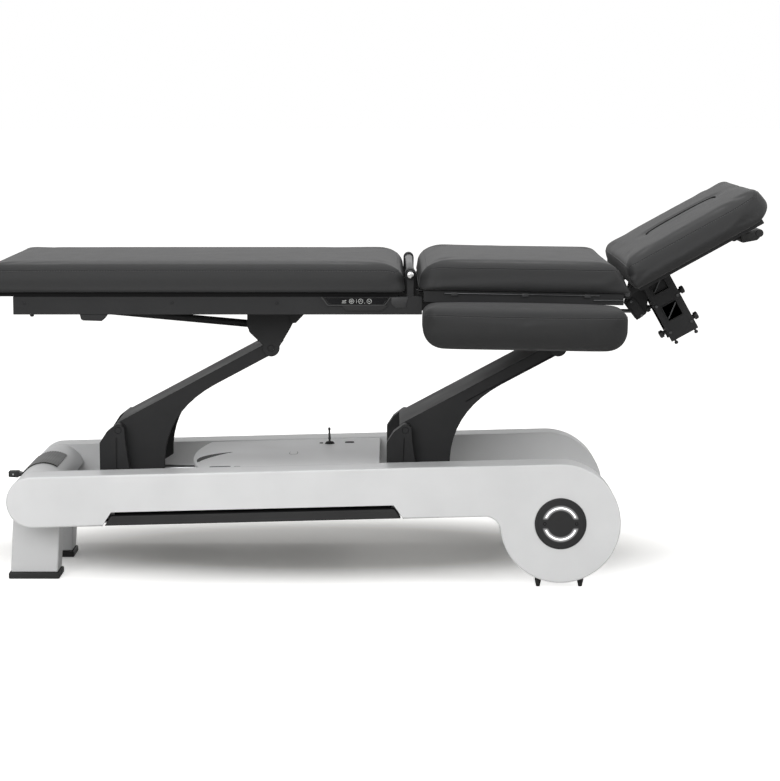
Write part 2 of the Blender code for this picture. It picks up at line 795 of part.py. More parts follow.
def make_hubs():
    """Dark hub discs with two light arcs each."""
    back = HUB_RECESS - FIT - COVER_HALF
    face = back - HUB_THICKNESS
    groove = face + LIGHT_GROOVE
    half = LIGHT_WIDTH / 2
    arcs = {"upper": LIGHT_START, "lower": LIGHT_START + 180}
    sweep = 180 - 2 * LIGHT_START
    play = math.degrees(FIT / LIGHT_RADIUS)
    cut = []
    for start in arcs.values():
        outline = sector(DISC_X, DISC_Z, LIGHT_RADIUS - half - FIT, LIGHT_RADIUS + half + FIT,
                         start - play, start + sweep + play, 14)
        cut.append(prism(outline, face - THROUGH, groove))
    disc = rod((DISC_X, back, DISC_Z), (DISC_X, face, DISC_Z), HUB_RADIUS, sides=48)
    near = part("hub_disc_near", HUB_PLASTIC, root, disc, cut=cut)
    twin("hub_disc_far", HUB_PLASTIC, root, near)
    for place, start in arcs.items():
        outline = sector(DISC_X, DISC_Z, LIGHT_RADIUS - half, LIGHT_RADIUS + half, start, start + sweep, 14)
        shape = prism(outline, groove - FIT - LIGHT_THICKNESS, groove - FIT)
        near = part("light_arc_near_" + place, LIGHT, root, shape)
        twin("light_arc_far_" + place, LIGHT, root, near)


def bar_front(low, high):
    """Front outline of a foot bar between two heights, its ends parallel to the recess's."""
    slant = RECESS_FLARE / RECESS_HEIGHT
    wide = slant * (STRIP_BOTTOM + RECESS_HEIGHT - low)
    narrow = slant * (STRIP_BOTTOM + RECESS_HEIGHT - high)
    return [(BAR_START - wide, low), (BAR_END + wide, low), (BAR_END + narrow, high), (BAR_START - narrow, high)]


def make_foot_bars():
    """Rocking bars in the recesses, hinged on rods held by the chassis."""
    near_rod = part("foot_bar_rod_near", STEEL, root, bar_rod(BAR_ROD_RADIUS, 0.0))
    twin("foot_bar_rod_far", STEEL, root, near_rod)
    front = BAR_SETBACK - COVER_HALF
    low = STRIP_BOTTOM + BAR_LIFT
    high = low + BAR_SIZE
    hub = BAR_ROD_RADIUS + BAR_HUB_WALL
    web_start = front + BAR_SIZE - OVERLAP
    outline = [(web_start, high - BAR_WEB)] + arc(BAR_ROD_Y, BAR_ROD_Z, hub, 225, 495, 12) + [(web_start, high)]
    bore = rod((BAR_START - THROUGH, BAR_ROD_Y, BAR_ROD_Z), (BAR_END + THROUGH, BAR_ROD_Y, BAR_ROD_Z),
               BAR_ROD_RADIUS + RUNNING, sides=14)
    middle = (BAR_START + BAR_END) / 2
    for side, sign in (("near", 1), ("far", -1)):
        shape = prism(bar_front(low, high), front, front + BAR_SIZE)
        web = prism(outline, BAR_START, BAR_END, "X")
        hole = bore.copy()
        for mesh in (shape, web, hole):
            mesh.transform(Matrix.Translation((-middle, -BAR_ROD_Y, -BAR_ROD_Z)))
        axis = along_strip_point(middle, BAR_ROD_Z)
        frame = joint_frame("foot_bar_axis_" + side, (axis[0], sign * BAR_ROD_Y, axis[1]), root, RISE_DEGREES)
        if sign < 0:
            shape = mirrored(shape)
            web = mirrored(web)
            hole = mirrored(hole)
        part("foot_bar_" + side, BLACK_PLASTIC, frame, shape, add=[web], cut=[hole], drawn_in_place=False)


def along_strip_point(along, above):
    """Place (x, z) of a point given along and above the strip's middle line."""
    return (NOSE_X + along * math.cos(RISE) - above * math.sin(RISE),
            NOSE_Z + along * math.sin(RISE) + above * math.cos(RISE))


def make_nose():
    """Half-round nose cover with its grip pad and the pedal that reaches out through a slot."""
    half = PLATE_INNER - FIT
    shell = prism(sector(NOSE_X, NOSE_Z, STRIP_RADIUS - NOSE_WALL, STRIP_RADIUS, NOSE_FROM, NOSE_TO, 24),
                  -half, half)
    slot_half = PEDAL_HALF + PEDAL_SLOT_SIDE
    slot = box(NOSE_X - STRIP_RADIUS - THROUGH, NOSE_X - STRIP_RADIUS / 2, -slot_half, slot_half,
               PEDAL_SLOT_LOW, PEDAL_SLOT_HIGH)
    part("nose_cover", WHITE_SHELL, root, shell, cut=[slot])
    inner = STRIP_RADIUS + FIT
    pad = prism(sector(NOSE_X, NOSE_Z, inner, inner + GRIP_THICKNESS, GRIP_FROM, GRIP_TO, 14),
                -GRIP_HALF, GRIP_HALF)
    part("nose_grip_pad", RUBBER, root, pad)
    frame = joint_frame("pedal_axis", (PEDAL_X, 0.0, PEDAL_Z), root)
    bar = PEDAL_BAR / 2
    tip = PEDAL_PAD / 2
    neck = PEDAL_TIP_X + PEDAL_PAD_LENGTH
    cheek = PEDAL_TIP_X + PEDAL_PAD
    outline = [(PEDAL_X, PEDAL_Z + bar), (neck, PEDAL_TIP_Z + bar), (cheek, PEDAL_TIP_Z + tip),
               (PEDAL_TIP_X, PEDAL_TIP_Z + bar), (PEDAL_TIP_X, PEDAL_TIP_Z - bar),
               (cheek, PEDAL_TIP_Z - tip), (neck, PEDAL_TIP_Z - bar), (PEDAL_X, PEDAL_Z - bar)]
    lever = prism(outline, -PEDAL_HALF, PEDAL_HALF)
    hub = rod((PEDAL_X, -PEDAL_HALF, PEDAL_Z), (PEDAL_X, PEDAL_HALF, PEDAL_Z), PEDAL_HUB)
    bore = rod((PEDAL_X, -PEDAL_HALF - THROUGH, PEDAL_Z), (PEDAL_X, PEDAL_HALF + THROUGH, PEDAL_Z),
               PEDAL_PIN_RADIUS + RUNNING)
    part("caster_pedal", BLACK_PLASTIC, frame, lever, add=[hub], cut=[bore])
    reach = PEDAL_LUG_Y + PEDAL_LUG
    part("pedal_pin", STEEL, root,
         rod((PEDAL_X, -reach, PEDAL_Z), (PEDAL_X, reach, PEDAL_Z), PEDAL_PIN_RADIUS))


def make_deck():
    """Deck cover between the lift arms, with a crescent slot and a small toggle in a boot."""
    half = PLATE_INNER - FIT
    outline = [(DECK_END, -half), (DECK_END, half)]
    for k in range(13):
        y = half * (1 - k / 6)
        outline.append((DECK_START + DECK_BOW * (y / half) ** 2, y))
    start = (SLOT_START_ALONG, SLOT_START_Y)
    end = (SLOT_END_ALONG, SLOT_END_Y)
    chord = Vector((end[0] - start[0], end[1] - start[1]))
    aside = Vector((-chord.y, chord.x)).normalized()
    middle = Vector(start) + chord / 2
    outer = middle + aside * 2 * SLOT_BOW
    inner = middle + aside * 2 * (SLOT_BOW - SLOT_WIDTH)
    crescent = bend(start, outer, end, 10) + bend(end, inner, start, 10)[1:-1]
    slab = along_strip(prism(outline, DECK_TOP - DECK_THICKNESS, DECK_TOP, "Z"))
    slot = along_strip(prism(crescent, DECK_TOP - DECK_THICKNESS / 2, DECK_TOP + THROUGH, "Z"))
    part("deck_cover", GREY_SHELL, root, slab, cut=[slot])
    centre = along_strip_point(TOGGLE_ALONG, DECK_TOP + FIT + TOGGLE_BALL)
    frame = joint_frame("toggle_axis", (centre[0], TOGGLE_Y, centre[1]), root, RISE_DEGREES)
    profile = [(0.0, -TOGGLE_BALL)]
    for k in range(1, 6):
        angle = math.radians(-90 + 25 * k)
        profile.append((TOGGLE_BALL * math.cos(angle), TOGGLE_BALL * math.sin(angle)))
    neck = TOGGLE_HEIGHT - 2 * TOGGLE_KNOB
    profile += [(TOGGLE_STEM, TOGGLE_BALL), (TOGGLE_STEM, neck), (TOGGLE_KNOB, neck + TOGGLE_STEM),
                (TOGGLE_KNOB, TOGGLE_HEIGHT - TOGGLE_STEM), (TOGGLE_STEM, TOGGLE_HEIGHT), (0.0, TOGGLE_HEIGHT)]
    part("deck_toggle", BLACK_PLASTIC, frame, turned(profile, 12), drawn_in_place=False)
    foot = DECK_TOP + FIT
    boot = rod((TOGGLE_ALONG, TOGGLE_Y, foot), (TOGGLE_ALONG, TOGGLE_Y, foot + BOOT_HEIGHT),
               BOOT_RADIUS, (BOOT_RADIUS + TOGGLE_BALL) / 2)
    hole = rod((TOGGLE_ALONG, TOGGLE_Y, foot - THROUGH), (TOGGLE_ALONG, TOGGLE_Y, foot + THROUGH),
               TOGGLE_BALL + RUNNING)
    part("toggle_boot", RUBBER, root, along_strip(boot), cut=[along_strip(hole)])


# Lift: pedestals, arms, pins and actuator


def make_pedestals():
    """Two posts on a plate at each end, with a groove in each post's outer face."""
    low = PEDESTAL_FLOOR
    for end, x in zip(("foot", "head"), PIVOTS):
        outline = [(x - POST_REAR, low), (x + POST_TOE, low)]
        outline += bend((x + POST_BOSS * 2, low + POST_TOE_HEIGHT), (x + POST_BOSS, PIVOT_Z - POST_BOSS * 2),
                        (x + POST_BOSS, PIVOT_Z), 5)
        outline += arc(x, PIVOT_Z, POST_BOSS, 18, 108, 5)
        outline += [(x - POST_REAR + POST_CHAMFER, PIVOT_Z - POST_BOSS / 4),
                    (x - POST_REAR, PIVOT_Z - POST_BOSS * 2)]
        post = prism(outline, -POST_OUTER, -POST_INNER)
        plate = box(x - POST_REAR, x + POST_TOE, -POST_OUTER, POST_OUTER, low, low + PEDESTAL_PLATE)
        slit_x = x - POST_SLIT_REAR
        slit = box(slit_x - POST_SLIT / 2, slit_x + POST_SLIT / 2, -POST_OUTER - THROUGH,
                   POST_SLIT - POST_OUTER, PIVOT_Z - POST_SLIT_LOW, PIVOT_Z - POST_SLIT_HIGH)
        reach = POST_OUTER + THROUGH
        bore = rod((x, -reach, PIVOT_Z), (x, reach, PIVOT_Z), PIN_RADIUS + FIT)
        part("pedestal_" + end, DARK_METAL, root, post, add=[mirrored(post), plate], cut=both(slit) + [bore])
        part("lower_pin_" + end, STEEL, root,
             rod((x, -POST_OUTER, PIVOT_Z), (x, POST_OUTER, PIVOT_Z), PIN_RADIUS))


def arm_outline(driven):
    """Side outline of a lift arm: bar from pivot to tip, flared heel and, if driven, a lever."""
    half = ARM_BAR / 2
    lever_angle = -90 - ARM_ANGLE
    lever = Vector((math.cos(math.radians(lever_angle)), math.sin(math.radians(lever_angle)))) * LEVER_END
    lever_half = CROSSHEAD_RADIUS + CROSSHEAD_PLAY + LEVER_WALL
    heel = (ARM_HEEL_X, ARM_HEEL_Z)
    points = arc(ARM_LENGTH, 0.0, half, -90, 90, 8)
    if driven:
        points += arc(0.0, 0.0, half, 90, lever_angle + 270, 4)
        points += arc(lever.x, lever.y, lever_half, lever_angle + 270, 285, 8)
    else:
        toe_angle = math.degrees(math.atan2(ARM_TOE_Z, ARM_TOE_X))
        points += arc(0.0, 0.0, half, 90, toe_angle + 270, 4) + [(ARM_TOE_X, ARM_TOE_Z)]
    points += bend(heel, (ARM_FLARE_PULL, -half - OVERLAP), (ARM_FLARE_START, -half), 10)
    return points


def make_arms():
    """Two arms of two plates under a web with a tie tube. The foot-end arm is a slotted bell crank."""
    low = -LEVER_END - ARM_BAR
    end = ARM_LENGTH + ARM_BAR
    inner = ARM_HALF - ARM_PLATE
    lever_angle = math.radians(-90 - ARM_ANGLE)
    slot_half = CROSSHEAD_RADIUS + CROSSHEAD_PLAY
    ends = [LEVER_REACH - CROSSHEAD_RADIUS, LEVER_END]
    slot = []
    for reach, turn in zip(ends, (180, 0)):
        x = reach * math.cos(lever_angle)
        z = reach * math.sin(lever_angle)
        towards = math.degrees(lever_angle) + turn
        slot += arc(x, z, slot_half, towards - 90, towards + 90, 6)
    for end_name, x in zip(("foot", "head"), PIVOTS):
        frame = joint_frame("lift_axis_" + end_name, (x, 0.0, PIVOT_Z), root, ARM_ANGLE)
        driven = end_name == "foot"
        body = prism(arm_outline(driven), -ARM_HALF, ARM_HALF)
        top = ARM_BAR / 2 - ARM_WEB
        hollow = prism([(low, low), (end, low), (end, top), (low, top)], -inner, inner)
        reach = ARM_HALF + THROUGH
        bores = [rod((at, -reach, 0.0), (at, reach, 0.0), PIN_RADIUS + RUNNING) for at in (0.0, ARM_LENGTH)]
        cut = [hollow] + bores
        if driven:
            cut.append(prism(slot, -reach, reach))
        else:
            lift = ARM_SLIT_HEIGHT - ARM_BAR / 2
            cut.append(box(ARM_SLIT_START, ARM_LENGTH - ARM_BAR / 2, -reach, ARM_SLIT_DEPTH - ARM_HALF,
                           lift, lift + ARM_SLIT_HEIGHT))
            cut.append(mirrored(cut[-1]))
        tie = rod((ARM_TIE_X, -inner - OVERLAP, ARM_TIE_Z), (ARM_TIE_X, inner + OVERLAP, ARM_TIE_Z),
                  ARM_TIE_RADIUS)
        part("lift_arm_" + end_name, DARK_METAL, frame, body, cut=cut, last=[tie], drawn_in_place=False)


def make_actuator():
    """Motor and tube fixed to the chassis wall, and the rod whose cross pin works in the lever slots."""
    z = CROSSHEAD_Z
    back = ACTUATOR_WALL_X - FIT
    tube = rod((ACTUATOR_FRONT_X, 0.0, z), (back, 0.0, z), ACTUATOR_RADIUS)
    motor = box(back - MOTOR_LENGTH, back, -MOTOR_WIDTH, ACTUATOR_RADIUS / 2,
                z - MOTOR_HEIGHT / 2, z + MOTOR_HEIGHT / 2)
    bore = rod((ACTUATOR_FRONT_X - THROUGH, 0.0, z), (ACTUATOR_BORE_END_X, 0.0, z), ROD_RADIUS + RUNNING)
    part("actuator_body", BLACK_PLASTIC, root, tube, add=[motor], cut=[bore])
    frame = joint_frame("actuator_axis", (PIVOT_X, 0.0, z), root)
    shaft = rod((PIVOT_X, 0.0, z), (PIVOT_X + ROD_LENGTH, 0.0, z), ROD_RADIUS)
    half = ROD_BLOCK / 2
    block = box(PIVOT_X - half, PIVOT_X + half, -half, half, z - half, z + half)
    cross = rod((PIVOT_X, -ARM_HALF, z), (PIVOT_X, ARM_HALF, z), CROSSHEAD_RADIUS)
    part("actuator_rod", STEEL, frame, shaft, add=[block, cross])


# Top frame with its control panel, board and cushion


def make_top():
    """Welded top frame carried by the arms, its stay, and what is fixed to it."""
    frame = joint_frame("top_axis", (TIP_X, 0.0, TIP_Z), root)
    low = RAIL_TOP - RAIL_HEIGHT
    inner = RAIL_HALF - RAIL_WIDTH
    wall = RAIL_WALL
    channel = [(-RAIL_HALF, low), (-inner, low), (-inner, low + wall), (-RAIL_HALF + wall, low + wall),
               (-RAIL_HALF + wall, RAIL_TOP - wall), (-inner, RAIL_TOP - wall), (-inner, RAIL_TOP),
               (-RAIL_HALF, RAIL_TOP)]
    rail = prism(channel, RAIL_START_X, RAIL_END_X, "X")
    add = [mirrored(rail)]
    span = RAIL_HALF - wall / 2
    cross_low = low + wall + OVERLAP
    for x in (FOOT_CROSS_X, LIFT_CROSS_X, GAP_CROSS_X):
        add.append(box(x - CROSS_LENGTH / 2, x + CROSS_LENGTH / 2, -span, span,
                       cross_low, cross_low + CROSS_HEIGHT))
    spine_in = POST_INNER
    spine_out = spine_in + SPINE_WIDTH
    add += both(box(SPINE_START_X, SPINE_END_X, -spine_out, -spine_in, SPINE_TOP - SPINE_HEIGHT, SPINE_TOP))
    pins = [(TIP_X, "foot"), (TIP_X + ARM_SPACING, "head")]
    plate_out = spine_in + BRACKET_PLATE
    cut = []
    for x, _ in pins:
        top = SPINE_TOP - OVERLAP
        outline = [(x - BRACKET_REAR, top), (x + EAR_X - EAR_RADIUS - EAR_WALL, TIP_Z + EAR_Z + EAR_WALL)]
        outline += arc(x + EAR_X, TIP_Z + EAR_Z, EAR_RADIUS + EAR_WALL / 2, 180, 230, 3)
        outline += arc(x, TIP_Z, BRACKET_KNUCKLE, 160, 370, 12)
        outline += [(x + BRACKET_REAR * 0.8, TIP_Z + EAR_Z), (x + BRACKET_FRONT, top)]
        add += both(prism(outline, -plate_out, -spine_in))
        add.append(rod((x + EAR_X, -plate_out, TIP_Z + EAR_Z), (x + EAR_X, plate_out, TIP_Z + EAR_Z),
                       EAR_RADIUS))
        cut.append(rod((x, -plate_out - THROUGH, TIP_Z), (x, plate_out + THROUGH, TIP_Z), PIN_RADIUS + FIT))
    lug_low = STAY_END_Z - STAY_LUG_DROP / 2
    add.append(box(STAY_LUG_X - STAY_LUG, STAY_LUG_X, -STAY_RADIUS * 1.5, STAY_RADIUS * 1.5,
                   lug_low, cross_low + OVERLAP))
    boss = GAP_BAR_RADIUS + GAP_EAR_WALL
    post_half = GAP_POST_LENGTH / 2
    post = [(HINGE_X - post_half, RAIL_TOP - OVERLAP), (HINGE_X + post_half, RAIL_TOP - OVERLAP)]
    post += arc(HINGE_X, HINGE_Z, boss, -50, 230, 14)
    add += both(prism(post, -RAIL_HALF + wall + FIT, -RAIL_HALF + wall + FIT + GAP_POST))
    bar_reach = GAP_BAR_HALF + THROUGH
    cut.append(rod((HINGE_X, -bar_reach, HINGE_Z), (HINGE_X, bar_reach, HINGE_Z), GAP_BAR_RADIUS + FIT))
    part("top_frame", DARK_METAL, frame, rail, add, cut)
    for x, end in pins:
        part("upper_pin_" + end, STEEL, frame,
             rod((x, -plate_out, TIP_Z), (x, plate_out, TIP_Z), PIN_RADIUS))
    part("gap_bar", CHROME, frame,
         rod((HINGE_X, -GAP_BAR_HALF, HINGE_Z), (HINGE_X, GAP_BAR_HALF, HINGE_Z), GAP_BAR_RADIUS))
    ear = Vector((TIP_X + EAR_X, 0.0, TIP_Z + EAR_Z))
    seat = Vector((STAY_LUG_X, 0.0, STAY_END_Z))
    slope = (seat - ear).normalized()
    lean = STAY_RADIUS * abs(slope.z / slope.x)
    part("frame_stay", DARK_METAL, frame,
         rod(ear + slope * (EAR_RADIUS + FIT), seat - slope * (lean + FIT), STAY_RADIUS, sides=14))
    board = box(BOARD_START_X, BOARD_END_X, -RAIL_HALF, RAIL_HALF, BOARD_BOTTOM, BOARD_BOTTOM + BOARD_THICKNESS)
    part("main_board", BLACK_PLASTIC, frame, board)
    round_foot = (CUSHION_FOOT, CUSHION_FOOT, CUSHION_FOOT)
    round_edge = (CUSHION_END, CUSHION_SIDE, CUSHION_EDGE)
    pad = cushion(MAIN_START_X, MAIN_END_X, CUSHION_HALF, MAIN_BASE, MAIN_THICKNESS, round_foot,
                  round_edge, CUSHION_CROWN)
    part("main_cushion", LEATHER, frame, pad)
    make_panel(frame)
    return frame


def panel_outline(grow):
    """Tapered outline of the control panel, grown on every side."""
    slant = math.atan2(PANEL_TAPER, PANEL_HEIGHT)
    half = PANEL_WIDTH / 2 + grow / math.cos(slant)
    top = half + grow * math.tan(slant)
    bottom = half - PANEL_TAPER - grow * math.tan(slant)
    high = PANEL_TOP + grow
    low = PANEL_TOP - PANEL_HEIGHT - grow
    return [(PANEL_X - bottom, low), (PANEL_X + bottom, low), (PANEL_X + top, high), (PANEL_X - top, high)]


def make_panel(frame):
    """Control housing on the near rail, with a glass let into its face."""
    back = -RAIL_HALF - FIT
    face = back - PANEL_DEPTH
    seat = prism(panel_outline(FIT - PANEL_RIM), face - THROUGH, face + GLASS_DEPTH)
    part("control_housing", BLACK_PLASTIC, frame, prism(panel_outline(0.0), face, back), cut=[seat])
    glass_back = face + GLASS_DEPTH - FIT
    part("control_glass", GLOSS_BLACK, frame,
         prism(panel_outline(-PANEL_RIM), glass_back - GLASS_DEPTH, glass_back))


# Middle section with its armrests


def make_middle(top_frame):
    """Frame, cushion, head hinge rod and head gas spring of the middle section."""
    offset = Vector((HINGE_X, 0.0, HINGE_Z)) - top_frame.location
    frame = joint_frame("middle_axis", offset, top_frame, -MIDDLE_DROOP)
    top = MIDDLE_BASE - FIT
    plate = box(MIDDLE_START + OVERLAP, FRAME_END, -SIDE_STRIP_HALF + OVERLAP, SIDE_STRIP_HALF - OVERLAP,
                top - STRIP_PLATE, top)
    strip_in = SIDE_STRIP_HALF - SIDE_STRIP_WIDTH
    add = both(box(SIDE_STRIP_START, FRAME_END - OVERLAP, -SIDE_STRIP_HALF, -strip_in,
                   top - SIDE_STRIP_HEIGHT, top - OVERLAP / 2))
    boss = GAP_BAR_RADIUS + GAP_EAR_WALL
    ear_low = top - SIDE_STRIP_HEIGHT / 2
    ear = [(-boss, ear_low), (GAP_EAR_REACH, ear_low), (GAP_EAR_REACH, top - OVERLAP),
           (boss, top - OVERLAP)]
    ear += arc(0.0, 0.0, boss, 0, 180, 12)
    add += both(prism(ear, -GAP_EAR_Y - GAP_EAR / 2, GAP_EAR / 2 - GAP_EAR_Y))
    lug_half = HEAD_LUG / 2
    lug = arc(HEAD_HINGE_X, HEAD_HINGE_Z, HEAD_BOSS, -90, 90, 8)
    lug += [(FRAME_END - 2 * HEAD_BOSS, top - OVERLAP / 2), (FRAME_END - 2 * HEAD_BOSS, HEAD_HINGE_Z - HEAD_BOSS)]
    add += both(prism(lug, -HEAD_LUG_Y - lug_half, lug_half - HEAD_LUG_Y))
    hanger = [(-LINK_Y - SIDE_STRIP_WIDTH, top - OVERLAP), (SIDE_STRIP_WIDTH - LINK_Y, top - OVERLAP)]
    hanger += arc(-LINK_Y, LINK_Z, HANGER_BOSS, 0, -180, 10)
    for x in hanger_stations():
        add += both(prism(hanger, x, x + HANGER, "X"))
    spring_z = HEAD_HINGE_Z - SPRING_DROP
    clamp = SPRING_RADIUS + HEAD_LUG / 2
    for x in (SPRING_BACK - FIT - SPRING_HANGER, SPRING_CLAMP_X):
        add.append(box(x, x + SPRING_HANGER, -clamp, clamp, spring_z - clamp, top - OVERLAP))
    gap_reach = GAP_EAR_Y + GAP_EAR
    cut = [rod((0.0, -gap_reach, 0.0), (0.0, gap_reach, 0.0), GAP_BAR_RADIUS + RUNNING)]
    cut.append(rod((HEAD_HINGE_X, -CUSHION_HALF, HEAD_HINGE_Z), (HEAD_HINGE_X, CUSHION_HALF, HEAD_HINGE_Z),
                   HEAD_ROD_RADIUS + FIT))
    ends = hanger_stations()
    cut += both(rod((ends[0] - THROUGH, -LINK_Y, LINK_Z), (ends[1] + HANGER + THROUGH, -LINK_Y, LINK_Z),
                    LINK_SHAFT + RUNNING))
    cut.append(rod((SPRING_BACK, 0.0, spring_z), (FRAME_END, 0.0, spring_z), SPRING_RADIUS + FIT))
    part("middle_frame", DARK_METAL, frame, plate, add, cut, drawn_in_place=False)
    round_foot = (CUSHION_FOOT, CUSHION_FOOT, CUSHION_FOOT)
    round_edge = (CUSHION_END, CUSHION_SIDE, CUSHION_EDGE)
    pad = cushion(MIDDLE_START, MIDDLE_END, CUSHION_HALF, MIDDLE_BASE, MIDDLE_THICKNESS, round_foot,
                  round_edge, CUSHION_CROWN, lean=MIDDLE_LEAN)
    part("middle_cushion", LEATHER, frame, pad, drawn_in_place=False)
    part("head_hinge_rod", STEEL, frame,
         rod((HEAD_HINGE_X, -HEAD_ROD_HALF, HEAD_HINGE_Z), (HEAD_HINGE_X, HEAD_ROD_HALF, HEAD_HINGE_Z),
             HEAD_ROD_RADIUS), drawn_in_place=False)
    cylinder = rod((SPRING_BACK, 0.0, spring_z), (SPRING_FRONT, 0.0, spring_z), SPRING_RADIUS)
    bore = rod((SPRING_BORE_BACK, 0.0, spring_z), (SPRING_FRONT + THROUGH, 0.0, spring_z), SPRING_ROD + RUNNING)
    part("head_spring_cylinder", BLACK_PLASTIC, frame, cylinder, cut=[bore], drawn_in_place=False)
    pin_x = HEAD_HINGE_X + SPRING_DROP * math.tan(math.radians(SPRING_SWING))
    slide = joint_frame("spring_axis", (pin_x, 0.0, spring_z), frame)
    shaft = rod((-SPRING_ROD_LENGTH, 0.0, 0.0), (0.0, 0.0, 0.0), SPRING_ROD)
    half = SPRING_ROD + OVERLAP
    block = box(-half, half, -half, half, -half, half)
    pin = rod((0.0, -SPRING_PIN_HALF, 0.0), (0.0, SPRING_PIN_HALF, 0.0), SPRING_PIN)
    part("head_spring_rod", STEEL, slide, shaft, add=[block, pin], drawn_in_place=False)
    return frame


def hanger_stations():
    """Where the hangers of the armrest links stand along the middle section."""
    return [LINK_FIRST - HANGER_GAP - HANGER, LINK_SECOND + LINK_PLATE + HANGER_GAP]


def make_armrests(middle_frame):
    """Swinging links, brackets and pads of both armrests."""
    drop = math.radians(LINK_DROP)
    tip_y = -LINK_LENGTH * math.cos(drop)
    tip_z = -LINK_LENGTH * math.sin(drop)
    stations = [LINK_FIRST, LINK_SECOND]
    inward = [1, -1]
    ends = hanger_stations()
    for side, sign in (("near", 1), ("far", -1)):
        link_frame = joint_frame("armrest_axis_" + side, (0.0, -sign * LINK_Y, LINK_Z), middle_frame)
        shaft = rod((ends[0], 0.0, 0.0), (ends[1] + HANGER, 0.0, 0.0), LINK_SHAFT)
        along = Vector((tip_y, tip_z)) / LINK_LENGTH
        aside = Vector((-along.y, along.x)) * (LINK_BAR / 2)
        tip = Vector((tip_y, tip_z))
        bar = [tuple(aside + along * -LINK_SHAFT), tuple(tip + aside + along * LINK_PIN),
               tuple(tip - aside + along * LINK_PIN), tuple(along * -LINK_SHAFT - aside)]
        add = []
        for x, way in zip(stations, inward):
            add.append(prism(bar, x, x + LINK_PLATE, "X"))
            start = x + OVERLAP if way > 0 else x + LINK_PLATE - OVERLAP
            reach = way * (LINK_PLATE + ARMREST_LUG + OVERLAP)
            add.append(rod((start, tip_y, tip_z), (start + reach, tip_y, tip_z), LINK_PIN, sides=14))
        link = bpy.data.objects.new("draft", shaft)
        bpy.context.collection.objects.link(link)
        combine(link, add, "UNION")
        link_mesh = link.data
        bpy.data.objects.remove(link)
        if sign < 0:
            link_mesh = mirrored(link_mesh)
        part("armrest_link_" + side, DARK_METAL, link_frame, link_mesh, drawn_in_place=False)
        pad_frame = joint_frame("armrest_pad_axis_" + side, (0.0, sign * tip_y, tip_z), link_frame)
        to_pad = Matrix.Translation((0.0, LINK_Y - tip_y, -LINK_Z - tip_z))
        plate_face = FIT - ARMREST_INNER
        plate = box(ARMREST_START + ARMREST_PLATE_INSET, ARMREST_END - ARMREST_PLATE_INSET,
                    plate_face, plate_face + ARMREST_PLATE, ARMREST_LOW + ARMREST_SIDE_ROUND / 2,
                    ARMREST_LOW + ARMREST_THICKNESS - ARMREST_EDGE)
        pin_y = tip_y - LINK_Y
        pin_z = tip_z + LINK_Z
        lug = [(plate_face + OVERLAP, pin_z + ARMREST_BOSS), (plate_face + OVERLAP, pin_z - ARMREST_BOSS / 2)]
        lug += arc(pin_y, pin_z, ARMREST_BOSS, -60, 90, 8)
        bracket_add = []
        for x, way in zip(stations, inward):
            low = x + LINK_PLATE + FIT if way > 0 else x - FIT - ARMREST_LUG
            bracket_add.append(prism(lug, low, low + ARMREST_LUG, "X"))
        bore = rod((LINK_FIRST, pin_y, pin_z), (LINK_SECOND + LINK_PLATE, pin_y, pin_z), LINK_PIN + RUNNING)
        draft = bpy.data.objects.new("draft", plate)
        bpy.context.collection.objects.link(draft)
        combine(draft, bracket_add, "UNION")
        combine(draft, [bore], "DIFFERENCE")
        bracket = draft.data
        bpy.data.objects.remove(draft)
        half = (ARMREST_OUTER - ARMREST_INNER) / 2
        pad = cushion(ARMREST_START, ARMREST_END, half, ARMREST_LOW, ARMREST_THICKNESS,
                      (ARMREST_ROUND, ARMREST_SIDE_ROUND, ARMREST_ROUND),
                      (ARMREST_END_EDGE, ARMREST_EDGE, ARMREST_EDGE), CUSHION_CROWN, draw=0.0)
        shifted(pad, -ARMREST_INNER - half)
        for name, finish, mesh in (("armrest_bracket_", DARK_METAL, bracket), ("armrest_pad_", LEATHER, pad)):
            mesh.transform(to_pad)
            if sign < 0:
                mesh = mirrored(mesh)
            part(name + side, finish, pad_frame, mesh, drawn_in_place=False)


# Head section


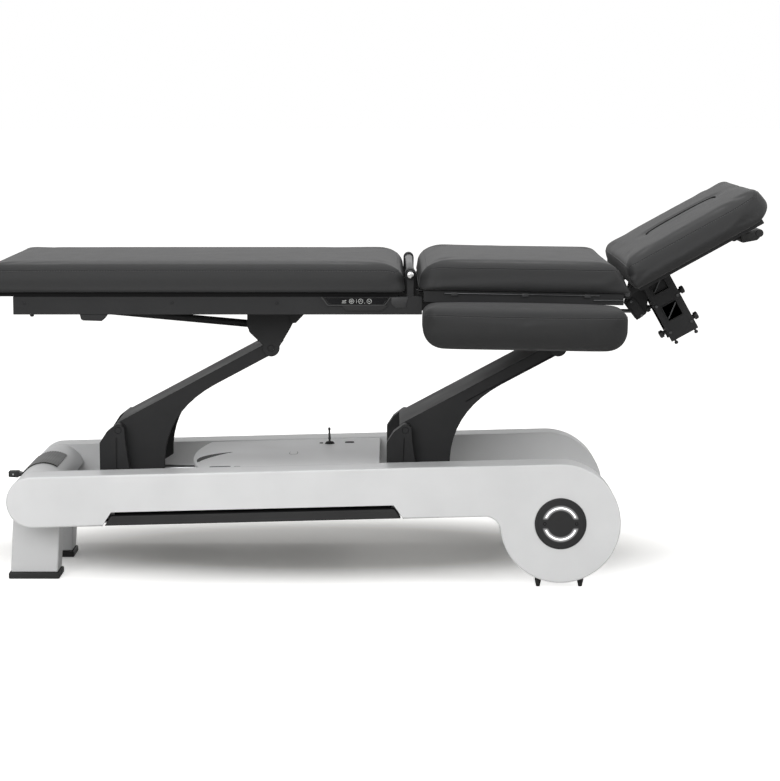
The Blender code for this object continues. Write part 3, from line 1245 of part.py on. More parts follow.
def make_head(middle_frame):
    """Board with its cage and spring lever, cushion with a face plug, and the release lever."""
    frame = joint_frame("head_axis", (HEAD_HINGE_X, 0.0, HEAD_HINGE_Z), middle_frame, HEAD_TILT)
    top = HEAD_BASE - FIT
    low = top - HEAD_BOARD
    start = HEAD_START + HEAD_BOARD_INSET
    board = box(start, HEAD_END - HEAD_BOARD_INSET, -HEAD_BOARD_HALF, HEAD_BOARD_HALF, low, top)
    lug_out = HEAD_LUG_Y - HEAD_LUG / 2 - FIT
    lug = arc(0.0, 0.0, HEAD_BOSS, 90, 290, 10)
    lug_end = start + HEAD_LUG_FOOT
    lug += [(lug_end, low - OVERLAP), (lug_end, low + OVERLAP), (start, low + OVERLAP)]
    add = both(prism(lug, -lug_out, HEAD_LUG - lug_out))
    cage_in = CAGE_U - CAGE_WIDTH / 2
    cage_out = CAGE_U + CAGE_WIDTH / 2
    cage_low = low - CAGE_DEPTH
    side = box(cage_in, cage_out, -CAGE_HALF, CAGE_PLATE - CAGE_HALF, cage_low, low + OVERLAP)
    add += both(side)
    blocks = [cage_low + CAGE_BLOCK, cage_low + CAGE_DEPTH / 2]
    for z in blocks:
        add.append(box(cage_in + OVERLAP, cage_out - OVERLAP, OVERLAP - CAGE_HALF, CAGE_HALF - OVERLAP,
                       z, z + CAGE_BLOCK))
        bolt_z = z + CAGE_BLOCK / 2
        for end, way in ((cage_in, -1), (cage_out, 1)):
            tip = end + way * CAGE_KNOB_LENGTH
            add.append(rod((CAGE_U, 0.0, bolt_z), (tip, 0.0, bolt_z), CAGE_BOLT, sides=12))
            add.append(rod((tip - way * OVERLAP, 0.0, bolt_z), (tip + way * CAGE_KNOB_LENGTH, 0.0, bolt_z),
                           CAGE_KNOB, sides=12))
    cut = []
    window = CAGE_WINDOW / 2
    for z in (blocks[1] + CAGE_BLOCK + window, blocks[0] + CAGE_BLOCK + window):
        cut.append(box(CAGE_U - window, CAGE_U + window, -CAGE_HALF - THROUGH, CAGE_HALF + THROUGH,
                       z, z + CAGE_WINDOW))
    add += lever_plates(start, low)
    cut += [lever_slot()]
    reach = RELEASE_HALF + FIT
    boss = [(RELEASE_U - RELEASE_BOSS, low + OVERLAP), (RELEASE_U + RELEASE_BOSS, low + OVERLAP)]
    boss += arc(RELEASE_U, RELEASE_V, RELEASE_BOSS, 0, -180, 10)
    add += both(prism(boss, -reach - RELEASE_LUG, -reach))
    block_start = RELEASE_U + RELEASE_BOSS + OVERLAP
    add.append(box(block_start, block_start + RELEASE_BLOCK_LENGTH, -RELEASE_GRIP, RELEASE_GRIP,
                   low - RELEASE_BLOCK_DROP, low + OVERLAP))
    pin_reach = reach + RELEASE_LUG + THROUGH
    cut.append(rod((RELEASE_U, -pin_reach, RELEASE_V), (RELEASE_U, pin_reach, RELEASE_V),
                   RELEASE_PIN + RUNNING))
    cut.append(rod((0.0, -CUSHION_HALF, 0.0), (0.0, CUSHION_HALF, 0.0), HEAD_ROD_RADIUS + RUNNING))
    part("head_frame", DARK_METAL, frame, board, add, cut, drawn_in_place=False)
    make_head_cushion(frame)
    make_release(frame, reach)


def spring_direction():
    """Unit vector of the spring lever in the head section's own frame."""
    angle = math.radians(SPRING_SWING - 90 - HEAD_TILT)
    return Vector((math.cos(angle), math.sin(angle)))


def lever_plates(start, low):
    """Two plates below the board that carry the slot for the gas spring's pin."""
    along = spring_direction()
    aside = Vector((-along.y, along.x))
    half = SPRING_PIN + SPRING_PIN_PLAY + LEVER_PLATE
    near = SPRING_DROP - half - SPRING_PIN
    far = SPRING_DROP / math.cos(math.radians(SPRING_SWING)) + half
    outline = [(start + OVERLAP, low + OVERLAP), tuple(along * near - aside * half),
               tuple(along * far - aside * half), tuple(along * far + aside * half),
               (start + HEAD_LUG_FOOT, low - half), (start + HEAD_LUG_FOOT, low + OVERLAP)]
    return both(prism(outline, -LEVER_PLATE_Y - LEVER_PLATE / 2, LEVER_PLATE / 2 - LEVER_PLATE_Y))


def lever_slot():
    """Slot along the spring lever, wide enough for the pin's path."""
    along = spring_direction()
    aim = math.degrees(math.atan2(along.y, along.x))
    half = SPRING_PIN + SPRING_PIN_PLAY
    first = along * (SPRING_DROP - SPRING_PIN)
    last = along * (SPRING_DROP / math.cos(math.radians(SPRING_SWING)))
    outline = arc(first.x, first.y, half, aim + 90, aim + 270, 6) + arc(last.x, last.y, half, aim - 90, aim + 90, 6)
    reach = LEVER_PLATE_Y + LEVER_PLATE
    return prism(outline, -reach, reach)


def oval(centre, half_x, half_y, steps=32):
    """Outline of an oval in plan."""
    points = []
    for k in range(steps):
        angle = 2 * math.pi * k / steps
        points.append((centre + half_x * math.cos(angle), half_y * math.sin(angle)))
    return points


def make_head_cushion(frame):
    """Head cushion with an oval face opening, closed by a plug."""
    round_foot = (CUSHION_FOOT, CUSHION_FOOT, CUSHION_FOOT)
    round_edge = (HEAD_EDGE, HEAD_EDGE, HEAD_EDGE)
    pad = cushion(HEAD_START, HEAD_END, CUSHION_HALF, HEAD_BASE, HEAD_THICKNESS, round_foot,
                  round_edge, CUSHION_CROWN * 1.5)
    hole = prism(oval(FACE_CENTRE, FACE_HALF_LENGTH, FACE_HALF_WIDTH), HEAD_BASE - THROUGH,
                 HEAD_BASE + HEAD_THICKNESS + THROUGH, "Z")
    part("head_cushion", LEATHER, frame, pad, cut=[hole], drawn_in_place=False)
    outline = oval(FACE_CENTRE, FACE_HALF_LENGTH - FACE_GAP, FACE_HALF_WIDTH - FACE_GAP)
    bm = bmesh.new()
    rings = []
    height = HEAD_THICKNESS + CUSHION_CROWN
    for share, z in ((1.0, 0.0), (1.0, height - FACE_CROWN), (0.94, height), (0.5, height + FACE_CROWN)):
        ring = []
        for x, y in outline:
            ring.append(bm.verts.new((FACE_CENTRE + (x - FACE_CENTRE) * share, y * share, HEAD_BASE + z)))
        rings.append(ring)
    bm.faces.new(rings[0])
    bm.faces.new(rings[-1])
    for lower, upper in zip(rings, rings[1:]):
        for k in range(len(outline)):
            after = (k + 1) % len(outline)
            bm.faces.new((lower[k], lower[after], upper[after], upper[k]))
    part("face_plug", LEATHER, frame, finished(bm), drawn_in_place=False)


def make_release(head_frame, reach):
    """Release lever with its own trunnions and a wide grip."""
    frame = joint_frame("release_axis", (RELEASE_U, 0.0, RELEASE_V), head_frame, -RELEASE_DROOP)
    half = RELEASE_BAR / 2
    lever = box(-half, RELEASE_LENGTH, -RELEASE_HALF, RELEASE_HALF, -half, half)
    grip = rod((RELEASE_LENGTH, -RELEASE_GRIP, 0.0), (RELEASE_LENGTH, RELEASE_GRIP, 0.0), RELEASE_BAR * 0.7)
    pin_half = reach + RELEASE_LUG - FIT
    pin = rod((0.0, -pin_half, 0.0), (0.0, pin_half, 0.0), RELEASE_PIN)
    part("release_lever", BLACK_PLASTIC, frame, lever, add=[grip, pin], drawn_in_place=False)


def centre_on_floor():
    """Move the whole table so that its outline is centred over the origin."""
    bpy.context.view_layer.update()
    places = []
    for piece in bpy.data.objects:
        if piece.type == "MESH":
            places += [(piece.matrix_world @ vertex.co).x for vertex in piece.data.vertices]
    root.location.x = -(min(places) + max(places)) / 2


make_chassis()
make_covers()
make_head_feet()
make_legs()
make_hubs()
make_foot_bars()
make_nose()
make_deck()
make_pedestals()
make_arms()
make_actuator()
top_axis = make_top()
middle_axis = make_middle(top_axis)
make_armrests(middle_axis)
make_head(middle_axis)
centre_on_floor()
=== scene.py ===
"""Electric massage table, dressed: shells, metalwork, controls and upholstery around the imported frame."""

import json
import math

import bmesh
import bpy
import numpy as np
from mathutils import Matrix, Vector

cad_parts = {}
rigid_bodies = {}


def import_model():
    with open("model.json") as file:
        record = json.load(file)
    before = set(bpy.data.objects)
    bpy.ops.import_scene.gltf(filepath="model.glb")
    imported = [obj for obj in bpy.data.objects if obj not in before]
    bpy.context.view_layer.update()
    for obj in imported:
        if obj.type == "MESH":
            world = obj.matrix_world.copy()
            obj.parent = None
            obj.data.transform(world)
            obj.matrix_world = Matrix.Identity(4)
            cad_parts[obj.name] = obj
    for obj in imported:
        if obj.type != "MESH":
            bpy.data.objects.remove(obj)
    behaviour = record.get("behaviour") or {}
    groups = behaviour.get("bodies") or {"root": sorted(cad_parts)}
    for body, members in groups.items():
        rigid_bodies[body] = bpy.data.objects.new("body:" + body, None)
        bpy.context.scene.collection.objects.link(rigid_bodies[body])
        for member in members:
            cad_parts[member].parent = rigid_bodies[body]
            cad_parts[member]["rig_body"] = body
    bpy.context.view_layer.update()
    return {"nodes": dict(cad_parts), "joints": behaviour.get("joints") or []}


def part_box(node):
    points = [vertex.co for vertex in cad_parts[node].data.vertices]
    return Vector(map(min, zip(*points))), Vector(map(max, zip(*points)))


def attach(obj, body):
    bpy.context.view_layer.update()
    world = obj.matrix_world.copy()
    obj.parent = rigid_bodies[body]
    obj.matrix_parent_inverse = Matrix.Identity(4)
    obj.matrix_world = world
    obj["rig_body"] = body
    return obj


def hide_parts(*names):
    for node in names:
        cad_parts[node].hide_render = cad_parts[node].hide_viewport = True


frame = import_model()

# Camera
# The table is seen square on to its long side, from a little above the cushions.
scene = bpy.context.scene
scene.view_settings.view_transform = "Standard"
camera_data = bpy.data.cameras.new("camera")
camera_data.lens = 107.65
camera_data.sensor_width = 36.0
camera = bpy.data.objects.new("camera", camera_data)
camera.location = (0.0210, -6.0813, 1.2605)
camera.rotation_euler = (math.pi / 2 - 0.13007, 0.0, 0.0)
scene.collection.objects.link(camera)
scene.camera = camera


# Studio
# A pale floor that runs to the horizon under a white surround, with a large soft box overhead and a
# wide fill in front. Seen directly, the lit floor is white. Painted light: outside an oval round the table,
# set off towards its back, an added glow seen directly whitens the floor, so the table's shadow shows only inside it.
def feed(tree, made, inputs):
    """Give each input of a node a value, or a link where the value is another node's output."""
    for label, value in inputs.items():
        if isinstance(value, bpy.types.NodeSocket):
            tree.links.new(value, made.inputs[label])
        else:
            made.inputs[label].default_value = value


def node(tree, kind, inputs, **settings):
    """Outputs of a new shader node with its settings and inputs."""
    made = tree.nodes.new("ShaderNode" + kind)
    for label, value in settings.items():
        setattr(made, label, value)
    feed(tree, made, inputs)
    return made.outputs


def cleared(owner):
    """Empty node tree of a material or a world."""
    owner.use_nodes = True
    owner.node_tree.nodes.clear()
    return owner.node_tree


floor_reach = 60.0
floor_level = -0.0005
floor_corners = [(-floor_reach, -floor_reach), (floor_reach, -floor_reach), (floor_reach, floor_reach),
                 (-floor_reach, floor_reach)]
floor_mesh = bpy.data.meshes.new("studio_floor")
floor_mesh.from_pydata([(x, y, floor_level) for x, y in floor_corners], [], [(0, 1, 2, 3)])
floor = bpy.data.objects.new("studio_floor", floor_mesh)
scene.collection.objects.link(floor)

# Painted light: middle and half sizes of the oval round the table, set off towards its back, outside which a glow
# seen directly whitens the floor and hides its shadow.
shade_x, shade_y = -0.16, 0.24
shade_long, shade_deep = 1.0, 0.48
floor_paint = bpy.data.materials.new("studio floor paint")
floor_tree = cleared(floor_paint)
floor_seen = node(floor_tree, "LightPath", {})["Is Camera Ray"]
floor_mirrored = (0.74, 0.735, 0.72, 1.0)
floor_direct = (0.96, 0.95, 0.925, 1.0)
floor_tint = node(floor_tree, "Mix", {"Factor": floor_seen, "A": floor_mirrored, "B": floor_direct}, data_type="RGBA")
floor_matte = node(floor_tree, "BsdfDiffuse", {"Color": floor_tint["Result"]})
shadow_oval = node(floor_tree, "Mapping", {
    "Vector": node(floor_tree, "TexCoord", {})["Object"], "Scale": (1 / shade_long, 1 / shade_deep, 0.0),
    "Location": (-shade_x / shade_long, -shade_y / shade_deep, 0.0)})
off_shadow_oval = node(floor_tree, "VectorMath", {0: shadow_oval["Vector"]}, operation="LENGTH")
# Painted light: glow strength rising from nothing inside the oval to full outside it.
painted_light_rise = node(floor_tree, "MapRange", {
    "Value": off_shadow_oval["Value"], "From Min": 0.5, "From Max": 1.25, "To Min": 0.0, "To Max": 0.75},
    interpolation_type="SMOOTHSTEP")
painted_light_seen = node(floor_tree, "Math", {0: floor_seen, 1: painted_light_rise["Result"]}, operation="MULTIPLY")
painted_floor_light = node(floor_tree, "Emission", {"Strength": painted_light_seen[0]})
floor_sum = node(floor_tree, "AddShader", {0: floor_matte[0], 1: painted_floor_light[0]})
node(floor_tree, "OutputMaterial", {"Surface": floor_sum[0]})
floor_mesh.materials.append(floor_paint)

world = bpy.data.worlds.new("white surround")
scene.world = world
world_tree = cleared(world)
world_rays = node(world_tree, "LightPath", {})
world_mirrored = node(world_tree, "Math", {0: world_rays["Is Glossy Ray"], 1: world_rays["Is Transmission Ray"]},
                      operation="MAXIMUM")
world_seen = node(world_tree, "Math", {0: world_rays["Is Camera Ray"], 1: world_mirrored[0]}, operation="MAXIMUM")
world_level = node(world_tree, "MapRange", {"Value": world_seen[0], "To Min": 0.36, "To Max": 1.0})
world_sky = node(world_tree, "Background", {"Color": (1.0, 1.0, 1.0, 1.0), "Strength": world_level["Result"]})
node(world_tree, "OutputWorld", {"Surface": world_sky[0]})


def soft_box(name, place, aim, width, height, power):
    """Area lamp at a place, turned so that its face looks at the aim point."""
    lamp_data = bpy.data.lights.new(name, "AREA")
    lamp_data.shape = "RECTANGLE"
    lamp_data.size = width
    lamp_data.size_y = height
    lamp_data.energy = power
    lamp = bpy.data.objects.new(name, lamp_data)
    lamp.location = place
    lamp.rotation_euler = (Vector(aim) - Vector(place)).to_track_quat("-Z", "Y").to_euler()
    scene.collection.objects.link(lamp)


soft_box("overhead_box", (0.1, -0.3, 3.6), (0.0, 0.0, 0.8), 3.8, 2.6, 60.0)
soft_box("front_fill", (-1.6, -5.2, 2.6), (0.0, 0.0, 0.3), 4.0, 2.2, 140.0)
soft_box("head_side_fill", (3.0, -1.8, 2.6), (0.4, 0.1, 0.5), 2.2, 2.2, 30.0)


# Chassis and legs
# A welded steel frame with two side plates, sprayed white, stands at the foot end on two raked box legs.
# The legs are bolted under the nose beam, and each stands in a moulded rubber sole.
def texture_group(name, inputs, outputs):
    """Empty shader node group with named number inputs and outputs, and its two end nodes."""
    group = bpy.data.node_groups.new(name, "ShaderNodeTree")
    for label, value in inputs:
        socket = group.interface.new_socket(label, in_out="INPUT", socket_type="NodeSocketFloat")
        socket.default_value = value
    for label in outputs:
        group.interface.new_socket(label, in_out="OUTPUT", socket_type="NodeSocketFloat")
    return group, group.nodes.new("NodeGroupInput"), group.nodes.new("NodeGroupOutput")


def sprayed_texture():
    """Group: Height is fine noise at the grain's size, and Mottle is slow noise over a hand's width."""
    group, given, result = texture_group(
        "sprayed texture", [("Grain per metre", 1400.0), ("Mottle per metre", 7.0)], ["Height", "Mottle"])
    place = node(group, "TexCoord", {})["Object"]
    for label, detail, output in (("Grain per metre", 3.0, "Height"), ("Mottle per metre", 5.0, "Mottle")):
        noise = node(group, "TexNoise", {"Vector": place, "Scale": given.outputs[label], "Detail": detail})
        feed(group, result, {output: noise["Fac"]})
    return group


SPRAYED = sprayed_texture()


def principled(material, inputs):
    """Give inputs of a material's main shader their values or links."""
    feed(material.node_tree, material.node_tree.nodes["Principled BSDF"], inputs)


def dressed_by(group, name, values, masks, dark, light, rough, relief, bump):
    """Material whose colour and roughness drift between two values with a mask, over a fine bump."""
    material = bpy.data.materials.new(name)
    material.use_nodes = True
    tree = material.node_tree
    texture = node(tree, "Group", values, node_tree=group)
    spread = node(tree, "MapRange", {"Value": texture[masks[0]], "From Min": 0.3, "From Max": 0.7})["Result"]
    colour = node(tree, "Mix", {"Factor": spread, "A": (*dark, 1.0), "B": (*light, 1.0)}, data_type="RGBA")
    gloss = node(tree, "MapRange", {"Value": spread, "To Min": rough[0], "To Max": rough[1]})
    raised = node(tree, "Bump", {"Height": texture[masks[1]], "Strength": bump, "Distance": relief})
    principled(material, {"Base Color": colour["Result"], "Roughness": gloss["Result"], "Normal": raised["Normal"]})
    return material


def sprayed(slot, name, dark, light, rough, grain=1400.0, bump=0.1, metallic=0.0, gloss=0.5):
    """Finish, as a material and its slot: sprayed, moulded or polished, with its own grain."""
    values = {"Grain per metre": grain, "Mottle per metre": 7.0}
    material = dressed_by(SPRAYED, name, values, ("Mottle", "Height"), dark, light, rough, 0.0002, bump)
    principled(material, {"Metallic": metallic, "Specular IOR Level": gloss})
    return material, slot


def shown(piece, finish, body, *replaced):
    """Give a piece a finish's material, the body that it rides on, and hide the nodes that it stands for."""
    material, slot = finish
    piece.data.materials.clear()
    piece.data.materials.append(material)
    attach(piece, body)
    if replaced:
        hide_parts(*replaced)
    return piece


def linked(name, mesh):
    """Object for a mesh, at the origin."""
    piece = bpy.data.objects.new(name, mesh)
    scene.collection.objects.link(piece)
    return piece


SHARP = math.radians(38.0)


def softened(node_name, width, finish):
    """Copy of a machined or folded node: triangles joined to flat faces, and long sharp edges rounded."""
    source = frame["nodes"][node_name]
    shape = bmesh.new()
    shape.from_mesh(source.data)
    bmesh.ops.remove_doubles(shape, verts=shape.verts, dist=0.00002)
    bmesh.ops.dissolve_limit(shape, angle_limit=math.radians(1.0), verts=shape.verts, edges=shape.edges)
    weight = shape.edges.layers.float.new("bevel_weight_edge")
    for edge in shape.edges:
        if edge.is_manifold and edge.calc_face_angle() > SHARP and edge.calc_length() > 2.5 * width:
            edge[weight] = 1.0
    mesh = bpy.data.meshes.new(node_name + "_finished")
    shape.to_mesh(mesh)
    shape.free()
    mesh.shade_smooth()
    mesh.set_sharp_from_angle(angle=SHARP)
    piece = linked(node_name + "_finished", mesh)
    bevel = piece.modifiers.new("rounded edges", "BEVEL")
    bevel.width = width
    bevel.segments = 2
    bevel.limit_method = "WEIGHT"
    bevel.use_clamp_overlap = False
    piece.modifiers.new("flat faces", "WEIGHTED_NORMAL").keep_sharp = True
    return shown(piece, finish, source["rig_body"], node_name)


WHITE_METAL = sprayed("white_metal", "white sprayed steel", (0.66, 0.665, 0.67), (0.71, 0.715, 0.72), (0.36, 0.46))
RUBBER = sprayed("rubber", "black rubber", (0.010, 0.010, 0.010), (0.018, 0.018, 0.018), (0.60, 0.78), 1000.0, 0.30)
SIDES = (("near", -1.0), ("far", 1.0))
softened("chassis_frame", 0.0012, WHITE_METAL)
for side, way in SIDES:
    softened("foot_leg_" + side, 0.004, WHITE_METAL)
    softened("foot_sole_" + side, 0.003, RUBBER)


# Head-end feet
# Four small tapered rubber feet stand under the round ends of the base, screwed to the chassis rails.
def meshed(name, points, faces):
    """Smooth-shaded mesh of points and faces, with every face turned outward."""
    mesh = bpy.data.meshes.new(name)
    mesh.from_pydata(points.reshape(-1, 3).tolist(), [], faces)
    shape = bmesh.new()
    shape.from_mesh(mesh)
    bmesh.ops.recalc_face_normals(shape, faces=shape.faces)
    shape.to_mesh(mesh)
    shape.free()
    mesh.shade_smooth()
    return mesh


def skin(name, grid, ring=False):
    """Mesh of quads over a grid of points: columns close on themselves, end rows are capped or meet in a ring."""
    rows, columns = grid.shape[:2]
    index = np.arange(rows * columns).reshape(rows, columns)
    after = np.roll(index, -1, axis=1)
    quads = np.stack([index, after, np.roll(after, -1, axis=0), np.roll(index, -1, axis=0)], axis=-1)
    faces = (quads if ring else quads[:-1]).reshape(-1, 4).tolist()
    if not ring:
        faces += [index[0, ::-1].tolist(), index[-1].tolist()]
    mesh = meshed(name, grid, faces)
    mesh.set_sharp_from_angle(angle=SHARP)
    return mesh


def unit(vectors):
    """Vectors brought to length one."""
    return vectors / np.linalg.norm(vectors, axis=-1, keepdims=True)


def circled(first, second, count):
    """Directions round a circle: cosine of the turn times the first unit vector plus sine times the second."""
    turn = np.linspace(0.0, 2 * math.pi, count, endpoint=False)[:, None]
    return np.cos(turn) * first[..., None, :] + np.sin(turn) * second[..., None, :]


def turned(name, start, end, profile, sides=40):
    """Turned piece: profile rows (distance from start towards end, radius) spun round that line."""
    line = unit(np.array(end, float) - start)
    side = unit(np.cross(line, (0.0, 0.0, 1.0) if abs(line[2]) < 0.9 else (1.0, 0.0, 0.0)))
    distance, radius = np.array(profile, float).T[:, :, None, None]
    grid = start + distance * line + radius * circled(side, np.cross(line, side), sides)
    return linked(name, skin(name, grid))


for corner in ("near_a", "near_b", "far_a", "far_b"):
    foot_low, foot_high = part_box("head_foot_" + corner)
    foot_x = (foot_low.x + foot_high.x) / 2
    foot_y = (foot_low.y + foot_high.y) / 2
    wide = (foot_high.x - foot_low.x) / 2
    groove = wide * 0.93
    foot_rows = [(0.0, 0.0030), (0.0, 0.0042), (0.0008, 0.0050), (0.0110, 0.0070), (0.0175, wide), (0.0190, wide),
                 (0.0195, groove), (0.0205, groove), (0.0210, wide), (foot_high.z, wide), (foot_high.z, wide * 0.5)]
    foot = turned("head_foot_" + corner + "_turned", (foot_x, foot_y, 0.0), (foot_x, foot_y, 1.0), foot_rows)
    shown(foot, RUBBER, "base", "head_foot_" + corner)

# Side covers
# Two moulded white shells clip over the side plates. Each is a straight strip with a round nose that
# runs into a big round end, with a softened front edge, a foot-bar recess and a round seat for the hub.
WHITE_SHELL = sprayed("white_shell", "white moulded shell", (0.70, 0.705, 0.71), (0.75, 0.755, 0.76), (0.34, 0.44),
                      1800.0, 0.05)
BLACK_PLASTIC = sprayed("black_plastic", "black moulded plastic", (0.012, 0.012, 0.013), (0.020, 0.020, 0.021),
                        (0.40, 0.54), bump=0.2)
cover_low, cover_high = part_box("side_cover_near")
hub_low, hub_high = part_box("hub_disc_near")
cover_wall = 0.005
cover_edge = 0.005
strip_radius = 0.065
fillet_radius = 0.040
nose = np.array([cover_low.x + strip_radius, 0.2216])
disc = np.array([(hub_low.x + hub_high.x) / 2, (hub_low.z + hub_high.z) / 2])
disc_radius = 0.152
disc_run = np.linalg.norm(disc - nose)
strip_rise = math.atan2(*(disc - nose)[::-1]) + math.asin((disc_radius - strip_radius) / disc_run)
strip_along = np.array([math.cos(strip_rise), math.sin(strip_rise)])
strip_up = np.array([-math.sin(strip_rise), math.cos(strip_rise)])


def bow(centre, radius, start, end, count):
    """Points (x, z) on an arc, with angles in radians from +X towards +Z."""
    angle = np.linspace(start, end, count)
    return np.asarray(centre) + radius * np.stack([np.cos(angle), np.sin(angle)], axis=-1)


def hoop(centre, radius, count):
    """Points (x, z) round a whole circle."""
    return bow(centre, radius, 0.0, 2 * math.pi, count + 1)[:-1]


def cover_outline(inset):
    """Outline of a cover seen from the side, drawn in by an inset: nose arc, concave fillet and end arc."""
    line = nose - (strip_radius + fillet_radius) * strip_up
    slope = (line - disc) @ strip_along
    reach = disc_radius + fillet_radius
    run = -slope - math.sqrt(slope ** 2 - (line - disc) @ (line - disc) + reach ** 2)
    fillet = line + run * strip_along
    towards = math.atan2(*(disc - fillet)[::-1])
    quarter = strip_rise + math.pi / 2
    return np.concatenate([
        bow(nose, strip_radius - inset, quarter, quarter + math.pi, 40),
        bow(fillet, fillet_radius + inset, quarter, towards, 14),
        bow(disc, disc_radius - inset, towards + math.pi, quarter + 2 * math.pi, 90)[1:]])


def in_strip(along, above):
    """Points (x, z) given along the strip from the nose and above its middle line."""
    return nose + np.multiply.outer(along, strip_along) + np.multiply.outer(above, strip_up)


def at_depth(outline, y):
    """Outline (x, z) placed across the table at y."""
    return np.insert(np.asarray(outline, float), 1, y, axis=-1)


def on_cover(way, rows):
    """Grid of outlines (x, z), each at its depth behind the face of the near or the far cover."""
    return np.stack([at_depth(outline, way * (-cover_low.y - depth)) for outline, depth in rows])


def carved(piece, *cutters):
    """Cut closed meshes out of a piece and keep the result as its mesh."""
    tools = []
    for cutter in cutters:
        tools.append(linked("cutter", cutter))
        cut = piece.modifiers.new("cut", "BOOLEAN")
        cut.operation = "DIFFERENCE"
        cut.object = tools[-1]
    result = bpy.data.meshes.new_from_object(piece.evaluated_get(bpy.context.evaluated_depsgraph_get()))
    piece.modifiers.clear()
    piece.data = result
    for tool in tools:
        bpy.data.objects.remove(tool)


recess_start = 0.198
recess_end = 0.908
recess_height = 0.0355
recess_flare = 0.024
recess_depth = 0.050
recess_slant = recess_flare / recess_height


def recess_outline(inset, below):
    """Trapezoid of the recess drawn in by an inset, its open side carried below the strip."""
    shift = inset * math.hypot(1.0, recess_slant)
    high = recess_height - inset
    wide = recess_slant * (recess_height + below) - shift
    narrow = recess_slant * inset - shift
    along = np.array([recess_start - wide, recess_start - narrow, recess_end + narrow, recess_end + wide])
    above = np.array([-below, high, high, -below]) - strip_radius
    return in_strip(along, above)


round_turn = np.linspace(0.0, math.pi / 2, 7)
cover_depth = cover_high.y - cover_low.y
cover_rows = [(cover_wall, cover_wall), (cover_wall, cover_depth), (0.0, cover_depth)]
cover_rows += [(cover_edge * (1 - math.cos(t)), cover_edge * (1 - math.sin(t))) for t in round_turn]
liner_gap = 0.0001
liner_wall = 0.0006
liner_front = 0.0006
past_face = 0.010
seat_radius = 0.0653
seat_depth = 0.002
for side, way in SIDES:
    shell = on_cover(way, [(cover_outline(inset), depth) for inset, depth in cover_rows])
    cover = linked("side_cover_" + side + "_shell", skin("side_cover_" + side, shell))
    recess = on_cover(way, [(recess_outline(0.0, past_face), depth) for depth in (-past_face, recess_depth)])
    seat = on_cover(way, [(hoop(disc, seat_radius, 96), depth) for depth in (-past_face, seat_depth)])
    carved(cover, skin("recess_cutter", recess), skin("seat_cutter", seat))
    cover.modifiers.new("flat faces", "WEIGHTED_NORMAL").keep_sharp = True
    shown(cover, WHITE_SHELL, "base", "side_cover_" + side)
    # Black plastic lining along the recess's top and ends; its near-black also stands for the shade under the
    # recess's top edge, painted shade.
    outer, inner = recess_outline(liner_gap, 0.0), recess_outline(liner_wall, 0.0)
    recess_shade_rows = [(outer, liner_front), (inner, liner_front), (inner, recess_depth), (outer, recess_depth)]
    liner = skin("recess_liner_" + side, on_cover(way, recess_shade_rows).swapaxes(0, 1))
    shown(linked("recess_liner_" + side, liner), BLACK_PLASTIC, "base")

# Foot bars
# A dark moulded bar lies in each recess: pressed up or down with the foot, it rocks on a steel rod
# behind it and switches the lift.
BAR_PLASTIC = sprayed("black_plastic", "foot bar plastic", (0.024, 0.024, 0.0245), (0.032, 0.032, 0.0325),
                      (0.44, 0.56), 1500.0, 0.18, gloss=0.2)
STEEL = sprayed("steel", "turned steel", (0.36, 0.365, 0.37), (0.46, 0.465, 0.47), (0.26, 0.38), 900.0, 0.08,
                metallic=1.0)
for side, way in SIDES:
    softened("foot_bar_" + side, 0.0016, BAR_PLASTIC)
    softened("foot_bar_rod_" + side, 0.0006, STEEL)

# Hubs
# A dark moulded disc is snapped into each round end. Two lit arcs and two screw pockets lie on one circle.
# Beside the arcs the plastic has a painted glow: an emission that stands for the arcs' light falling on it.
light_radius = 0.040
light_width = 0.0046
light_gap = math.radians(21.0)
light_rise = 0.0011
light_sunk = 0.0008
hub_radius = (hub_high.x - hub_low.x) / 2


def hub_painted_glow_finish():
    """Dark plastic with a painted glow: emission that falls away from the lit circle and fades out beside the
    pockets.
    """
    material, slot = sprayed("hub_plastic", "hub plastic", (0.017, 0.017, 0.018), (0.023, 0.023, 0.024),
                             (0.40, 0.52), 1500.0, 0.10, gloss=0.3)
    tree = material.node_tree
    centred = node(tree, "Mapping", {"Vector": node(tree, "TexCoord", {})["Object"], "Scale": (1.0, 0.0, 1.0),
                                     "Location": (-disc[0], 0.0, -disc[1])})["Vector"]
    reach = node(tree, "VectorMath", {0: centred}, operation="LENGTH")["Value"]
    off_circle = node(tree, "Math", {0: reach, 1: light_radius}, operation="SUBTRACT")
    away = node(tree, "Math", {0: off_circle[0]}, operation="ABSOLUTE")
    painted_glow_fade = node(tree, "MapRange", {"Value": away[0], "From Min": 0.0022, "From Max": 0.0085, "To Min": 0.36,
                                   "To Max": 0.0}, interpolation_type="SMOOTHERSTEP")
    height = node(tree, "Math", {0: node(tree, "SeparateXYZ", {0: centred})["Z"]}, operation="ABSOLUTE")
    ends = node(tree, "MapRange", {"Value": height[0], "From Min": 0.0085, "From Max": 0.0165},
                interpolation_type="SMOOTHERSTEP")
    # Painted glow: emission strength, highest on the lit circle and nothing beside the pockets.
    glow = node(tree, "Math", {0: painted_glow_fade["Result"], 1: ends["Result"]}, operation="MULTIPLY")
    principled(material, {"Emission Color": glow[0], "Emission Strength": 1.0})
    return material, slot


HUB_PLASTIC_PAINTED_GLOW = hub_painted_glow_finish()
# Painted shade: the screw pockets are near-black, darker than the hub, for the shade inside their hollows.
POCKET_PAINTED_SHADE = sprayed("black_plastic", "screw pocket", (0.003, 0.003, 0.003), (0.005, 0.005, 0.005), (0.60, 0.70),
                       900.0, 0.05, gloss=0.1)
LIT_DIFFUSER = sprayed("light", "lit diffuser", (0.90, 0.92, 0.94), (0.97, 0.98, 1.0), (0.30, 0.40), 900.0, 0.02)
principled(LIT_DIFFUSER[0], {"Emission Color": (1.0, 1.0, 1.0, 1.0), "Emission Strength": 2.0})


def mm(*pairs):
    """Pairs of millimetres as an array in metres."""
    return np.array(pairs) / 1000


